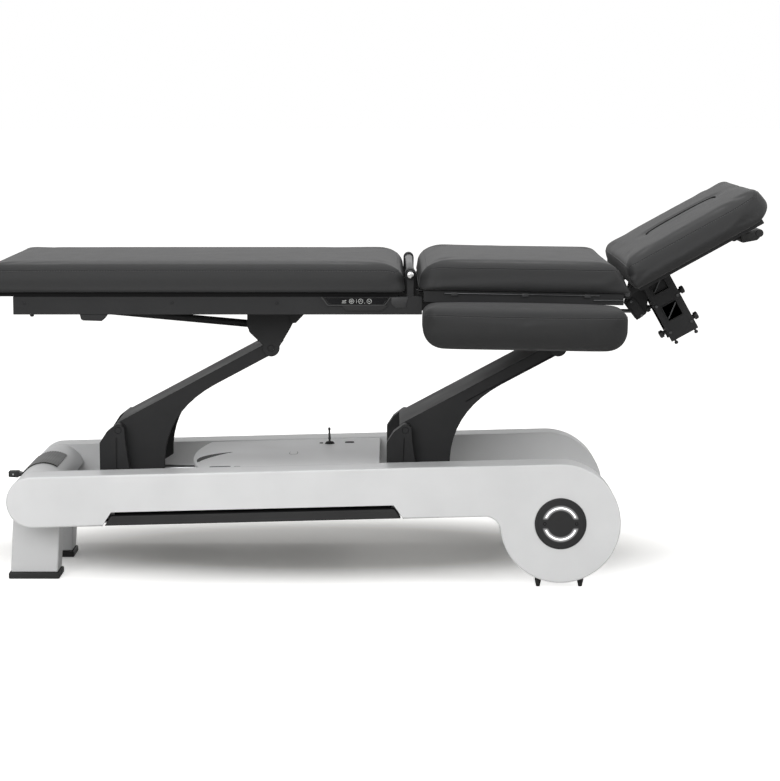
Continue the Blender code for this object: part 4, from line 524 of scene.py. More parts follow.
def lit_arc(name, face, way, start, end):
    """Lens-shaped bar along an arc: half an ellipse across, its width falling to a round at both ends."""
    turn = np.linspace(start, end, 61)
    to_end = np.minimum(turn - start, end - turn) * light_radius / (light_width / 2)
    narrow = np.sqrt(np.clip(1 - (1 - np.clip(to_end, 0.0, 1.0)) ** 2, 0.0025, 1.0))
    across = np.linspace(0.0, math.pi, 9)
    radius = light_radius + np.multiply.outer(narrow, np.cos(across)) * light_width / 2
    depth = np.multiply.outer(narrow, np.sin(across)) * light_rise - light_sunk
    grid = np.stack([disc[0] + radius * np.cos(turn)[:, None], face + way * depth,
                     disc[1] + radius * np.sin(turn)[:, None]], axis=-1)
    return linked(name, skin(name, grid))


hub_rim = mm((0, -4), (0, -0.6), (0.6, 0), (3, 0), (3.8, -0.5), (4.1, -1.6), (4.1, -6.2), (3.6, -6.8), (3.6, -7.6),
             (4.1, -8.2))
hub_rows = [*(hub_rim + (0.0, hub_radius)), *mm((4.1, 10), (4.1, 2))]
pocket_rows = mm((-1, 4.2), (0.2, 4.2), (0.5, 3.8), (0.5, 3), (-0.5, 2.6), (-0.5, 1))
for side, way in SIDES:
    face, back = -way * hub_low.y, -way * hub_high.y
    hub = turned("hub_disc_" + side + "_turned", (disc[0], back, disc[1]), (disc[0], face, disc[1]), hub_rows, 96)
    shown(hub, HUB_PLASTIC_PAINTED_GLOW, "base", "hub_disc_" + side)
    for place, turn in (("upper", 0.0), ("lower", math.pi)):
        arc = "light_arc_" + side + "_" + place
        lens = lit_arc(arc + "_lens", face, way, turn + light_gap, turn + math.pi - light_gap)
        shown(lens, LIT_DIFFUSER, "base", arc)
    for label, pocket_x in (("left", disc[0] - light_radius), ("right", disc[0] + light_radius)):
        pocket = turned("hub_pocket_" + side + "_" + label, (pocket_x, face, disc[1]),
                        (pocket_x, face + way, disc[1]), pocket_rows, 24)
        shown(pocket, POCKET_PAINTED_SHADE, "base")

# Nose cover, grip pad and pedal
# A half-round white shell closes the foot end between the side covers. A ribbed soft grip pad is bonded
# round its top, and a black pedal that drops the wheels comes out through a slot.
GRIP_RUBBER = sprayed("gloss_black", "grip pad rubber", (0.012, 0.0132, 0.0115), (0.019, 0.0202, 0.018),
                      (0.34, 0.46), 1200.0, 0.10, gloss=0.25)
LEVEL = ((0.0, 0.0, 0.0), 0.0)
softened("nose_cover", 0.0010, WHITE_SHELL)
softened("pedal_pin", 0.0006, STEEL)
softened("caster_pedal", 0.0020, BLACK_PLASTIC)


def drawn_in(outline, inset):
    """Outline drawn in: each corner moves along its bisector until both its edges have moved by the inset."""
    outline = np.asarray(outline, float)
    ahead = unit(np.roll(outline, -1, axis=0) - outline)
    normal = np.stack([-ahead[:, 1], ahead[:, 0]], axis=-1)
    before = np.roll(normal, 1, axis=0)
    bisector = (normal + before) / (1 + np.sum(normal * before, axis=1, keepdims=True))
    x, z = outline.T
    way = np.sign(np.sum(x * np.roll(z, -1) - np.roll(x, -1) * z))
    return outline + inset * way * bisector


def seated(point, seat):
    """Points in a section's own frame, set at its seat: a hinge, and a tilt that lifts the +X end if positive."""
    hinge, tilt = seat
    c, s = math.cos(math.radians(tilt)), math.sin(math.radians(tilt))
    x, y, z = np.moveaxis(np.asarray(point, float), -1, 0)
    return np.stack([hinge[0] + x * c - z * s, hinge[1] + y, hinge[2] + x * s + z * c], axis=-1)


def slab(name, outline, one, other, edge, seat=LEVEL):
    """Plate: an outline (x, z) carried across the table from one Y to the other, its rims rounded by quarter arcs."""
    low, high = sorted((one, other))
    turn = np.linspace(0.0, math.pi / 2, 4)
    rows = [(edge * (1 - math.sin(t)), low + edge * (1 - math.cos(t))) for t in turn]
    rows += [(inset, low + high - y) for inset, y in rows[::-1]]
    grid = np.stack([at_depth(drawn_in(outline, inset), y) for inset, y in rows])
    return linked(name, skin(name, seated(grid, seat)))


pedal_low, pedal_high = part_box("caster_pedal")
tread_x, tread_z = pedal_low.x, 0.2436
tread_proud = 0.0012
tread_outline = (tread_x, tread_z) + mm((-1.2, -7), (23, -8.4), (26, -6), (26, 6.6), (23, 8.4), (-1.2, 7.6))
tread = slab("pedal_tread", tread_outline, pedal_low.y - tread_proud, pedal_high.y + tread_proud, 0.0014)
shown(tread, RUBBER, "pedal")
rivet_x = tread_x + 0.011
rivet_rows = mm((0, 1.2), (0, 2.3), (0.6, 2.3), (1, 1.6), (1, 0.6))
for side, way in SIDES:
    rivet_y = way * (pedal_high.y + 0.0008)
    rivet = turned("pedal_rivet_" + side, (rivet_x, rivet_y, tread_z), (rivet_x, rivet_y + way, tread_z),
                   rivet_rows, 20)
    shown(rivet, STEEL, "pedal")
grip_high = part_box("nose_grip_pad")[1]
grip_turn = np.radians(np.linspace(57.3, 149.7, 120))
grip_across = grip_high.y * np.sin(np.linspace(-math.pi / 2, math.pi / 2, 41))
grip_thickness = 0.0030
grip_ribs = 16
grip_rib_height = 0.0005
grip_edge = 0.0025


def grip_shape():
    """Pad on the nose's arc: thickness falls to nothing in a round at all edges, with ribs across the table."""
    side = np.clip((grip_high.y - np.abs(grip_across)) / grip_edge, 0.0, 1.0)
    to_end = np.minimum(grip_turn - grip_turn[0], grip_turn[-1] - grip_turn) * strip_radius
    end = np.clip(to_end / grip_edge, 0.0, 1.0)
    swell = np.sqrt(1 - (1 - side[:, None]) ** 2) * np.sqrt(1 - (1 - end[None, :]) ** 2)
    phase = (grip_turn - grip_turn[0]) / (grip_turn[-1] - grip_turn[0]) * 2 * math.pi * grip_ribs
    rib = grip_rib_height * np.clip(np.cos(phase), -0.4, 1.0)[None, :] * (side[:, None] > 0.9)
    top = strip_radius + 0.0004 + swell * (grip_thickness - grip_rib_height + rib)
    under = np.full_like(top, strip_radius + 0.0003)
    radius = np.concatenate([top, under[:, ::-1]], axis=1)
    turn = np.concatenate([grip_turn, grip_turn[::-1]])
    return np.stack([nose[0] + radius * np.cos(turn), np.broadcast_to(grip_across[:, None], radius.shape),
                     nose[1] + radius * np.sin(turn)], axis=-1)


shown(linked("nose_grip_pad_moulded", skin("nose_grip_pad", grip_shape())), GRIP_RUBBER, "base", "nose_grip_pad")

# Deck cover and toggle
# A pale grey moulded tray closes the base between the lift arms, with a crescent vent, a hatch and two
# blanking plugs let into it. A black rubber crescent in the vent and a thin black strip with a short end piece
# by the near edge are painted shade. A slim toggle lever stands in a rubber bellows near its far edge.
GREY_SHELL = sprayed("grey_shell", "grey moulded deck", (0.82, 0.825, 0.83), (0.86, 0.865, 0.87), (0.40, 0.52),
                     1800.0, 0.06)
softened("deck_cover", 0.0020, GREY_SHELL)
deck_top = strip_radius - 0.002


def on_deck(along, across, above):
    """Points given along the strip from the nose, across the table and above the deck's top."""
    x, z = np.moveaxis(in_strip(np.asarray(along, float), deck_top + np.asarray(above, float)), -1, 0)
    return np.stack([x, np.broadcast_to(across, x.shape), z], axis=-1)


def inlay(name, outline, rise, edge, finish):
    """Flush insert in the deck: its outline (along, across) runs from inside the deck to a little above it."""
    rows = [(0.0, -0.0015), (0.0, rise - edge), (edge, rise)]
    drawn = [(drawn_in(outline, inset).T, above) for inset, above in rows]
    grid = np.stack([on_deck(along, across, np.full(len(along), above)) for (along, across), above in drawn])
    shown(linked(name, skin(name, grid)), finish, "base")


def oblong(along, across, half_along, half_across, count=32, power=0.5):
    """Rounded oblong (along, across): an oval whose two directions are each raised to a power."""
    turn = np.linspace(0.0, 2 * math.pi, count, endpoint=False)
    c, s = np.cos(turn), np.sin(turn)
    return np.stack([along + half_along * np.sign(c) * np.abs(c) ** power,
                     across + half_across * np.sign(s) * np.abs(s) ** power], axis=-1)


def crescent(start, end, bow_out, bow_in, count=24):
    """Outline between two bows over one chord: each leaves the chord by its bow times four t (1 - t)."""
    t = np.linspace(0.0, 1.0, count)[:, None]
    chord = np.subtract(end, start)
    aside = 4 * t * (1 - t) * unit(np.array([-chord[1], chord[0]]))
    return np.concatenate([start + t * chord + bow_out * aside, (start + t * chord + bow_in * aside)[-2:0:-1]])


# Painted shade: a black rubber crescent on the floor of the vent and a thin black strip by the near edge stand for
# the shade there.
deck_vent = crescent((0.404, -0.128), (0.486, 0.030), 0.0360, 0.0100)
vent_shade_grid = np.stack([on_deck(*deck_vent.T, np.full(len(deck_vent), above)) for above in (-0.0012, 0.0004)])
shown(linked("deck_vent", skin("deck_vent", vent_shade_grid)), RUBBER, "base")
inlay("deck_slit", oblong(0.468, -0.2065, 0.027, 0.0060), 0.0004, 0.0002, RUBBER)
inlay("deck_slit_end", oblong(0.512, -0.2095, 0.008, 0.0016), 0.0004, 0.0002, RUBBER)
inlay("deck_hatch", oblong(0.648, -0.010, 0.0100, 0.022), 0.0009, 0.0005, GREY_SHELL)
inlay("deck_hatch_seam", oblong(0.648, -0.010, 0.0110, 0.0235), 0.0003, 0.0002, BAR_PLASTIC)
inlay("deck_plug", oblong(0.716, 0.150, 0.0050, 0.0110), 0.0007, 0.0004, BAR_PLASTIC)
inlay("deck_socket", oblong(0.792, 0.150, 0.0125, 0.0130), 0.0009, 0.0005, RUBBER)

boot_start = on_deck(0.739, 0.135, 0.0003)
stem_end = boot_start + (strip_up[0], 0.0, strip_up[1])
boot_rows = mm((0, 8), (0, 13), (1, 13.1), (1.6, 12.2), (2.2, 10.8), (3, 11.6), (3.8, 10), (4.6, 10.6), (5.4, 8.8),
               (5.9, 7.8), (6, 6.2))
shown(turned("toggle_boot_bellows", boot_start, stem_end, boot_rows), RUBBER, "base", "toggle_boot")
stem_rows = mm((0, 1.2), (1, 3.1), (3, 4.4), (4.5, 4.5), (6.2, 4.2), (7.6, 3), (9, 2.3), (13, 3.4), (15, 3.5),
               (29, 2.5), (36, 2.3), (37.2, 3.4), (42, 3.4), (43.6, 2.6), (44, 1))
shown(turned("deck_toggle_stem", boot_start, stem_end, stem_rows), BLACK_PLASTIC, "toggle", "deck_toggle")

# Pedestals, lift arms and actuator
# Two folded steel pedestals are bolted to the chassis. On each hangs a bell-crank arm of bent plate, and
# a linear actuator inside the base swings the foot-end arm. All of it is sprayed dark grey.
DARK_METAL = sprayed("dark_metal", "dark sprayed steel", (0.026, 0.0262, 0.027), (0.034, 0.0342, 0.035),
                     (0.46, 0.60), 1300.0, 0.22, gloss=0.12)
for end in ("foot", "head"):
    for kind, width in (("pedestal", 0.0012), ("lift_arm", 0.0014), ("lower_pin", 0.0010), ("upper_pin", 0.0010)):
        softened(kind + "_" + end, width, DARK_METAL)
softened("actuator_body", 0.0020, BLACK_PLASTIC)
softened("actuator_rod", 0.0010, STEEL)


# Top frame
# Box rails and cross members welded into a ladder, with the lift brackets below and a slim stay tube. Angle
# blocks under the rails take the stay, and a thin board is screwed on top to carry the long cushion.
def both_ends(rows, length):
    """Profile rows of one end, and the same rows at the other end of a length."""
    return [*rows, *((length - distance, radius) for distance, radius in rows[::-1])]


BOARD = sprayed("black_plastic", "black faced board", (0.004, 0.004, 0.0042), (0.006, 0.006, 0.0062), (0.60, 0.72),
                900.0, 0.25, gloss=0.1)
softened("top_frame", 0.0012, DARK_METAL)
softened("main_board", 0.0010, BOARD)
stay_low, stay_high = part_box("frame_stay")
stay_radius = (stay_high.y - stay_low.y) / 2
stay_length = math.hypot(stay_high.x - stay_low.x, stay_high.z - stay_low.z - 2 * stay_radius)
stay_rows = both_ends([(0.0, stay_radius * 0.6), (0.0, stay_radius * 0.9), (0.001, stay_radius)], stay_length)
stay = turned("frame_stay_tube", (stay_low.x, 0.0, stay_high.z - stay_radius),
              (stay_high.x, 0.0, stay_low.z + stay_radius), stay_rows)
shown(stay, DARK_METAL, "top", "frame_stay")
rail_bottom = 0.695
rail_face = 0.305
sunk = 0.0002
nub_x = -0.870
screw_z = 0.724
block_outline = (0.0, rail_bottom) + mm((-750, -0.2), (-747, -12), (-742, -15), (-696, -16.5), (-689, -11),
                                        (-681, -0.2))
gusset_outline = mm((-236, 689.5), (-189, 689.5), (-219, 658), (-233, 656))
nub_rows = mm((0, 3), (0, 5.2), (3, 5.2), (5.2, 4), (6, 1.5))
screw_rows = mm((0, 3), (0, 4.2), (1, 4.1), (2, 3), (2.2, 1.8), (1.2, 1.6), (1.2, 0.6))
for side, way in SIDES:
    shown(slab("rail_block_" + side, block_outline, way * 0.3035, way * 0.2815, 0.0012), DARK_METAL, "top")
    nub_y = way * 0.294
    nub = turned("rail_nub_" + side, (nub_x, nub_y, rail_bottom - sunk), (nub_x, nub_y, 0.0), nub_rows, 24)
    shown(nub, DARK_METAL, "top")
    shown(slab("bracket_gusset_" + side, gusset_outline, way * 0.1420, way * 0.1336, 0.0012), DARK_METAL, "top")
    for label, screw_x in (("foot", -0.887), ("middle", -0.520), ("head", -0.260)):
        screw = turned("rail_screw_" + side + "_" + label, (screw_x, way * (rail_face - sunk), screw_z),
                       (screw_x, way, screw_z), screw_rows, 24)
        shown(screw, DARK_METAL, "top")

# Control panel
# A slim housing is set on the near rail: a gloss panel with lit symbols in a slanted bezel and a moulded chin
# under it. A thin flat black plate at its side is painted shade, standing for a dark patch there.
GLOSS_BLACK = sprayed("gloss_black", "gloss panel", (0.004, 0.004, 0.005), (0.007, 0.007, 0.008), (0.10, 0.16),
                      600.0, 0.01, gloss=0.35)
PANEL_INK = sprayed("light", "lit panel symbols", (0.42, 0.43, 0.42), (0.50, 0.51, 0.50), (0.40, 0.50), 900.0, 0.02)
principled(PANEL_INK[0], {"Emission Color": (1.0, 1.0, 0.97, 1.0), "Emission Strength": 0.12})
softened("control_housing", 0.0012, BAR_PLASTIC)
softened("control_glass", 0.0004, GLOSS_BLACK)
housing_low, housing_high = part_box("control_housing")
glass_low, glass_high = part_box("control_glass")


def ribbon(path, width, face, proud, ring):
    """Flat band along a path (x, z): at each point its cross-section reaches half the width to both sides."""
    ahead = unit((np.roll(path, -1, axis=0) - np.roll(path, 1, axis=0)) if ring else np.gradient(path, axis=0))
    aside = np.stack([-ahead[:, 1], ahead[:, 0]], axis=-1) * width / 2
    depth = face + 0.0003
    grid = np.stack([at_depth(path + aside, depth), at_depth(path + aside * 0.8, face - proud),
                     at_depth(path - aside * 0.8, face - proud), at_depth(path - aside, depth)], axis=1)
    return skin("ribbon", grid, ring)


def gathered(name, meshes):
    """One mesh out of several."""
    shape = bmesh.new()
    for mesh in meshes:
        shape.from_mesh(mesh)
    whole = bpy.data.meshes.new(name)
    shape.to_mesh(whole)
    shape.free()
    return linked(name, whole)


def panel_symbols():
    """Generic marks: a couch, a ring with a dot, a bar, and rings with an up and a down chevron."""
    level = 0.7291
    couch, lamp, bar, rise, dash, fall = -0.0925, -0.0743, -0.0623, -0.0519, -0.0418, -0.0304
    rings = [(x, 0.0056, 0.0011) for x in (lamp, rise, fall)] + [(lamp, 0.0020, 0.0014)]
    strokes = [(couch, mm((-6, -4), (0, -4), (5, -4)), 0.0013),
               (couch, mm((-5, 0.5), (0, 0.5), (3, 1), (5, 2.6)), 0.0020),
               (bar, mm((0, -5.2), (0, 0), (0, 5.2)), 0.0008),
               (rise, mm((-2.7, -1.3), (0, 1.6), (2.7, -1.3)), 0.0012),
               (fall, mm((-2.7, 1.3), (0, -1.6), (2.7, 1.3)), 0.0012),
               (dash, mm((-1, -4.6), (0, -4.6), (1, -4.6)), 0.0012)]
    marks = [(hoop((x, level), radius, 32), width, True) for x, radius, width in rings]
    marks += [(path + (x, level), width, False) for x, path, width in strokes]
    return gathered("panel_symbols", [ribbon(path, width, glass_low.y, 0.0001, ring) for path, width, ring in marks])


shown(panel_symbols(), PANEL_INK, "top")
BEZEL_PLASTIC = sprayed("black_plastic", "panel bezel", (0.052, 0.052, 0.053), (0.064, 0.064, 0.065), (0.36, 0.48),
                        1500.0, 0.10, gloss=0.3)
panel_middle = (glass_low.x + glass_high.x) / 2
panel_back = -rail_face - sunk
bezel_half = (housing_high.x - housing_low.x) / 2 + 0.0030
bezel_foot = bezel_half - 0.015
bezel_top, bezel_bottom = housing_high.z + 0.0004, housing_low.z - 0.0012
bezel_path = [(panel_middle - bezel_half, bezel_top), (panel_middle - bezel_foot, bezel_bottom),
              (panel_middle + bezel_foot, bezel_bottom), (panel_middle + bezel_half, bezel_top)]
bezel_runs = [np.linspace(bezel_path[k], bezel_path[k + 1], 5) for k in range(3)]
bezel = gathered("panel_bezel", [ribbon(run, 0.0030, panel_back, 0.0052, False) for run in bezel_runs])
shown(bezel, BEZEL_PLASTIC, "top")
chin_outline = mm((-99, 718.2), (-88, 704), (2, 704), (18, 718.2))
shown(slab("panel_chin", chin_outline, panel_back - 0.0032, panel_back, 0.0016), BAR_PLASTIC, "top")
# Painted shade: a thin flat black plate on the rail stands for the dark patch beside the panel.
shade_patch_outline = mm((24, 722.5), (34.5, 712), (60, 712), (66, 738.5), (24, 738.5))
shown(slab("panel_pocket", shade_patch_outline, panel_back - 0.0014, panel_back, 0.0006), BLACK_PLASTIC, "top")

# Gap bar
# A dark chromed bar across the table fills the gap between the long cushion and the middle section; each end
# is closed by a polished cap.
DARK_CHROME = sprayed("chrome_bar", "dark chrome", (0.016, 0.016, 0.017), (0.024, 0.024, 0.025), (0.30, 0.40), 700.0,
                      0.03, metallic=1.0)
POLISHED = sprayed("chrome_bar", "polished cap", (0.66, 0.66, 0.66), (0.76, 0.76, 0.76), (0.16, 0.24), 700.0, 0.02,
                   metallic=1.0)
bar_low, bar_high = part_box("gap_bar")
bar_radius = (bar_high.x - bar_low.x) / 2
bar_x, bar_z = bar_low.x + bar_radius, bar_low.z + bar_radius
bar_end = [(0.0, bar_radius * 0.5), (0.0, bar_radius * 0.86), (0.0006, bar_radius * 0.95), (0.0016, bar_radius)]
bar_rows = both_ends(bar_end, bar_high.y - bar_low.y)
bar = turned("gap_bar_turned", (bar_x, bar_low.y, bar_z), (bar_x, bar_high.y, bar_z), bar_rows, 48)
shown(bar, DARK_CHROME, "top", "gap_bar")
cap_rows = mm((0, 5), (0, 8.2), (1.2, 8), (2.2, 6.6), (2.7, 4), (2.9, 1.2))
for side, way in SIDES:
    cap_y = way * (bar_high.y - sunk)
    cap = turned("gap_bar_cap_" + side, (bar_x, cap_y, bar_z), (bar_x, cap_y + way, bar_z), cap_rows, 40)
    shown(cap, POLISHED, "top")

# Middle section frame and armrest linkages
# A welded frame hinges on the gap bar, with a gas spring under it for the head section and a slim release rod
# along each side. On each side two parallel links carry an armrest bracket.
DULL_STEEL = sprayed("steel", "dull steel", (0.070, 0.071, 0.073), (0.100, 0.101, 0.103), (0.34, 0.46), 900.0, 0.10,
                     metallic=1.0)
joints = {joint["name"]: joint for joint in frame["joints"]}
MIDDLE = (joints["middle_tilt"]["pos_m"], -1.0)
softened("middle_frame", 0.0010, DARK_METAL)
softened("head_hinge_rod", 0.0008, DULL_STEEL)
softened("head_spring_cylinder", 0.0010, (BLACK_PLASTIC[0], "spring_body"))
softened("head_spring_rod", 0.0006, DULL_STEEL)
rod_end = mm((0, 0.8), (0.3, 1.7), (1, 2))
rod_start, rod_stop, rod_z = 0.085, 0.470, -0.0445
grip_rows = mm((0, 0.6), (0.4, 1.6), (3, 2.1), (60, 2.1), (68, 1.8), (74, 1.2), (75, 0.6))
for side, way in SIDES:
    softened("armrest_link_" + side, 0.0010, DARK_METAL)
    softened("armrest_bracket_" + side, 0.0010, DARK_METAL)
    rod_y = way * 0.3138
    rod_line = seated([(rod_start, rod_y, rod_z), (rod_stop, rod_y, rod_z)], MIDDLE)
    rod_rows = both_ends(rod_end, rod_stop - rod_start)
    shown(turned("release_rod_" + side, *rod_line, rod_rows, 20), DULL_STEEL, "middle")
    for label, station in (("foot", 0.110), ("middle", 0.285), ("head", 0.440)):
        clip_outline = (station, 0.0) + mm((-9, -50.5), (9, -50.5), (7, -41.5), (-7, -41.5))
        clip = slab("release_clip_" + side + "_" + label, clip_outline, way * 0.3160, way * 0.3122, 0.0008, MIDDLE)
        shown(clip, BLACK_PLASTIC, "middle")
    grip_line = seated([(0.455, way * 0.3142, -0.0560), (0.530, way * 0.3142, -0.0545)], MIDDLE)
    shown(turned("release_grip_" + side, *grip_line, grip_rows, 20), DULL_STEEL, "middle")

# Head section frame and release lever
# A board and a hanging cage of bent plate with clamp knobs, lined so that the works inside don't show, and a
# squeeze lever with a moulded grip under the head end.
HEAD = (joints["head_tilt"]["pos_m"], 29.0)
softened("release_lever", 0.0016, BLACK_PLASTIC)
cage_in, cage_out, cage_low = 0.049, 0.127, -0.1833
cage_middle = (cage_in + cage_out) / 2


def box_outline(middle, half):
    """Four corners of an upright oblong about its middle."""
    return np.array(middle) + np.array(half) * [(-1, -1), (1, -1), (1, 1), (-1, 1)]


def on_head(name, start, end, rows, sides, finish):
    """Turned piece on the head section, along a line given in the section's own frame."""
    shown(turned(name, *seated([start, end], HEAD), rows, sides), finish, "head")


board_end = np.stack([at_depth(box_outline((0.413, 0.005), (0.037, 0.015)), y) for y in (-0.4, 0.4)])
carved(softened("head_frame", 0.0010, DARK_METAL), skin("board_cutter", seated(board_end, HEAD)))
slot_along = np.array([0.1564, -0.9877])
slot_aside = np.array([0.9877, 0.1564]) * 0.0110
slot_top, slot_bottom = slot_along * 0.0380, slot_along * 0.0915
slot_outline = [slot_top + slot_aside, slot_top - slot_aside, slot_bottom - slot_aside, slot_bottom + slot_aside]
stud_rows = mm((0, 1.4), (0, 2.6), (7.2, 2.6), (7.2, 4), (9.2, 3.8), (10, 1.6))
strut_along, strut_up = 0.0185, 0.0150
strut_rows = both_ends(mm((0, 1.2), (0.4, 2.6)), 2 * math.hypot(strut_along, strut_up))
rim_rows = mm((0, 49.5), (0, 51.8), (0.8, 52.6), (2, 52.6), (2.6, 52), (2.6, 49.5))
bolt_rows = mm((0, 3), (0, 4.6), (2.4, 4.6), (3, 4), (3, 2.4), (1.6, 2.2), (1.6, 0.8))
bolt_places = [(u, v) for v in (-0.083, -0.160, -0.008) for u in (cage_in + 0.008, cage_out - 0.008)]
foot_rows = mm((0, 2.4), (0, 3), (4, 3), (5, 5.2), (9.5, 4.8), (11, 3), (11.2, 1))
for side, way in SIDES:
    shown(slab("slot_cover_" + side, slot_outline, way * 0.0288, way * 0.0308, 0.0008, HEAD), DARK_METAL, "head")
    for label, reach in (("upper", 0.0425), ("lower", 0.0880)):
        u, v = slot_along * reach
        on_head("slot_stud_" + side + "_" + label, (u, way * 0.0236, v), (u, way, v), stud_rows, 6, DULL_STEEL)
    for label, v in (("upper", -0.0338), ("lower", -0.1113)):
        place = side + "_" + label
        liner_outline = box_outline((cage_middle, v), (0.027, 0.019))
        liner = slab("cage_liner_" + place, liner_outline, way * 0.0438, way * 0.0405, 0.0006, HEAD)
        shown(liner, DARK_METAL, "head")
        strut_y = way * 0.0468
        on_head("cage_strut_" + place, (cage_middle - strut_along, strut_y, v - strut_up),
                (cage_middle + strut_along, strut_y, v + strut_up), strut_rows, 20, DULL_STEEL)
        window = box_outline((cage_middle, v), (0.0225, 0.0225))
        rim_grid = np.stack([at_depth(drawn_in(window, inset), way * y) for inset, y in rim_rows])
        shown(linked("cage_rim_" + place, skin("cage_rim", seated(rim_grid, HEAD), True)), DARK_METAL, "head")
    for label, (u, v) in zip("abcdef", bolt_places):
        on_head("cage_bolt_" + side + "_" + label, (u, way * 0.0498, v), (u, way, v), bolt_rows, 6, DULL_STEEL)
    for label, u in (("in", cage_in + 0.010), ("out", cage_out - 0.010)):
        on_head("cage_foot_" + side + "_" + label, (u, way * 0.0470, cage_low + sunk),
                (u, way * 0.0470, cage_low - 1.0), foot_rows, 24, BLACK_PLASTIC)
knob_rows = mm((0, 5), (0, 6), (3, 6.2), (4.2, 9.8), (6, 10.4), (9, 9.8), (10.5, 10.4), (13, 9.8),
               (14.8, 7), (15.2, 2))
for label, v in (("upper", -0.0818), ("lower", -0.1593)):
    for end, u, way in (("in", cage_in, -1.0), ("out", cage_out, 1.0)):
        on_head("cage_knob_" + label + "_" + end, (u + way * 0.0030, 0.0, v), (u + way, 0.0, v), knob_rows, 32,
                BLACK_PLASTIC)
release_seat = (joints["release_squeeze"]["pos_m"], HEAD[1] - 17.0)
grip_outline = mm((13.5, -14), (18, -16.2), (54.5, -17), (62, -12.5), (64, -4), (62, 6.8), (16, 7), (13.5, 5))
shown(slab("release_lever_grip", grip_outline, -0.0435, 0.0435, 0.0034, release_seat), RUBBER, "release_lever")


# Upholstery
# Foam blocks under dark grey leatherette: a top panel sewn to a side band, with a corded seam and a row
# of stitches. The covers are pulled tight under the boards, so only the sides and top swell.
def leather_grain():
    """Group: Height joins pebbles (distance to scattered points) and creases, and Wear is slow noise."""
    group, given, result = texture_group(
        "leather grain", [("Pebbles per metre", 620.0), ("Creases per metre", 26.0)], ["Height", "Wear"])
    place = node(group, "TexCoord", {})["Object"]
    bend = node(group, "TexNoise", {"Vector": place, "Scale": 90.0})
    stir = node(group, "VectorMath", {0: bend["Color"], 1: (0.0012, 0.0012, 0.0012), 2: place},
                operation="MULTIPLY_ADD")
    pebble = node(group, "TexVoronoi", {"Vector": stir["Vector"], "Scale": given.outputs["Pebbles per metre"]},
                  feature="SMOOTH_F1")
    crease = node(group, "TexNoise", {"Vector": place, "Scale": given.outputs["Creases per metre"], "Detail": 6.0,
                                      "Distortion": 0.6})["Fac"]
    joined = node(group, "Math", {0: crease, 1: 0.10, 2: pebble["Distance"]}, operation="MULTIPLY_ADD")
    feed(group, result, {"Height": joined[0], "Wear": crease})
    return group


def leatherette(name, dark, light):
    """Upholstery finish: pebbled bump, colour and roughness that drift with Wear, and a little sheen."""
    values = {"Pebbles per metre": 620.0, "Creases per metre": 26.0}
    material = dressed_by(leather_grain(), name, values, ("Wear", "Height"), dark, light, (0.53, 0.58), 0.0005, 0.30)
    principled(material, {"Sheen Weight": 0.05, "Specular IOR Level": 0.22, "Sheen Roughness": 0.45})
    return material, "leather"


LEATHER = leatherette("dark grey leatherette", (0.0215, 0.0217, 0.0222), (0.0245, 0.0247, 0.0252))
THREAD = sprayed("leather", "sewing thread", (0.060, 0.060, 0.062), (0.085, 0.085, 0.087), (0.55, 0.70), 2600.0, 0.4)
cushion_half = 0.325
cushion_start = np.array([0.0020, 0.0020, 0.0008])
cushion_swell = 0.0035
cloth_steps = 20
cloth_values = {"quality": 4, "mass": 0.3, "tension_stiffness": 20.0, "compression_stiffness": 20.0,
                "shear_stiffness": 8.0, "bending_stiffness": 2.0, "use_pressure": True,
                "uniform_pressure_force": 2.0, "vertex_group_mass": "fixed"}


def block_lattice(counts):
    """Whole-number lattice points on the six sides of a block, and quads between them, welded at the edges."""
    corners = []
    for axis, first, second in ((0, 1, 2), (1, 2, 0), (2, 0, 1)):
        a, b = np.meshgrid(np.arange(counts[first]), np.arange(counts[second]), indexing="ij")
        for end in (0, counts[axis]):
            quad = np.zeros((a.size, 4, 3), int)
            quad[:, :, axis] = end
            quad[:, :, first] = a.reshape(-1, 1) + np.array([0, 1, 1, 0])
            quad[:, :, second] = b.reshape(-1, 1) + np.array([0, 0, 1, 1])
            corners.append(quad if end else quad[:, ::-1])
    lattice, index = np.unique(np.concatenate(corners).reshape(-1, 3), axis=0, return_inverse=True)
    return lattice, index.reshape(-1, 4)


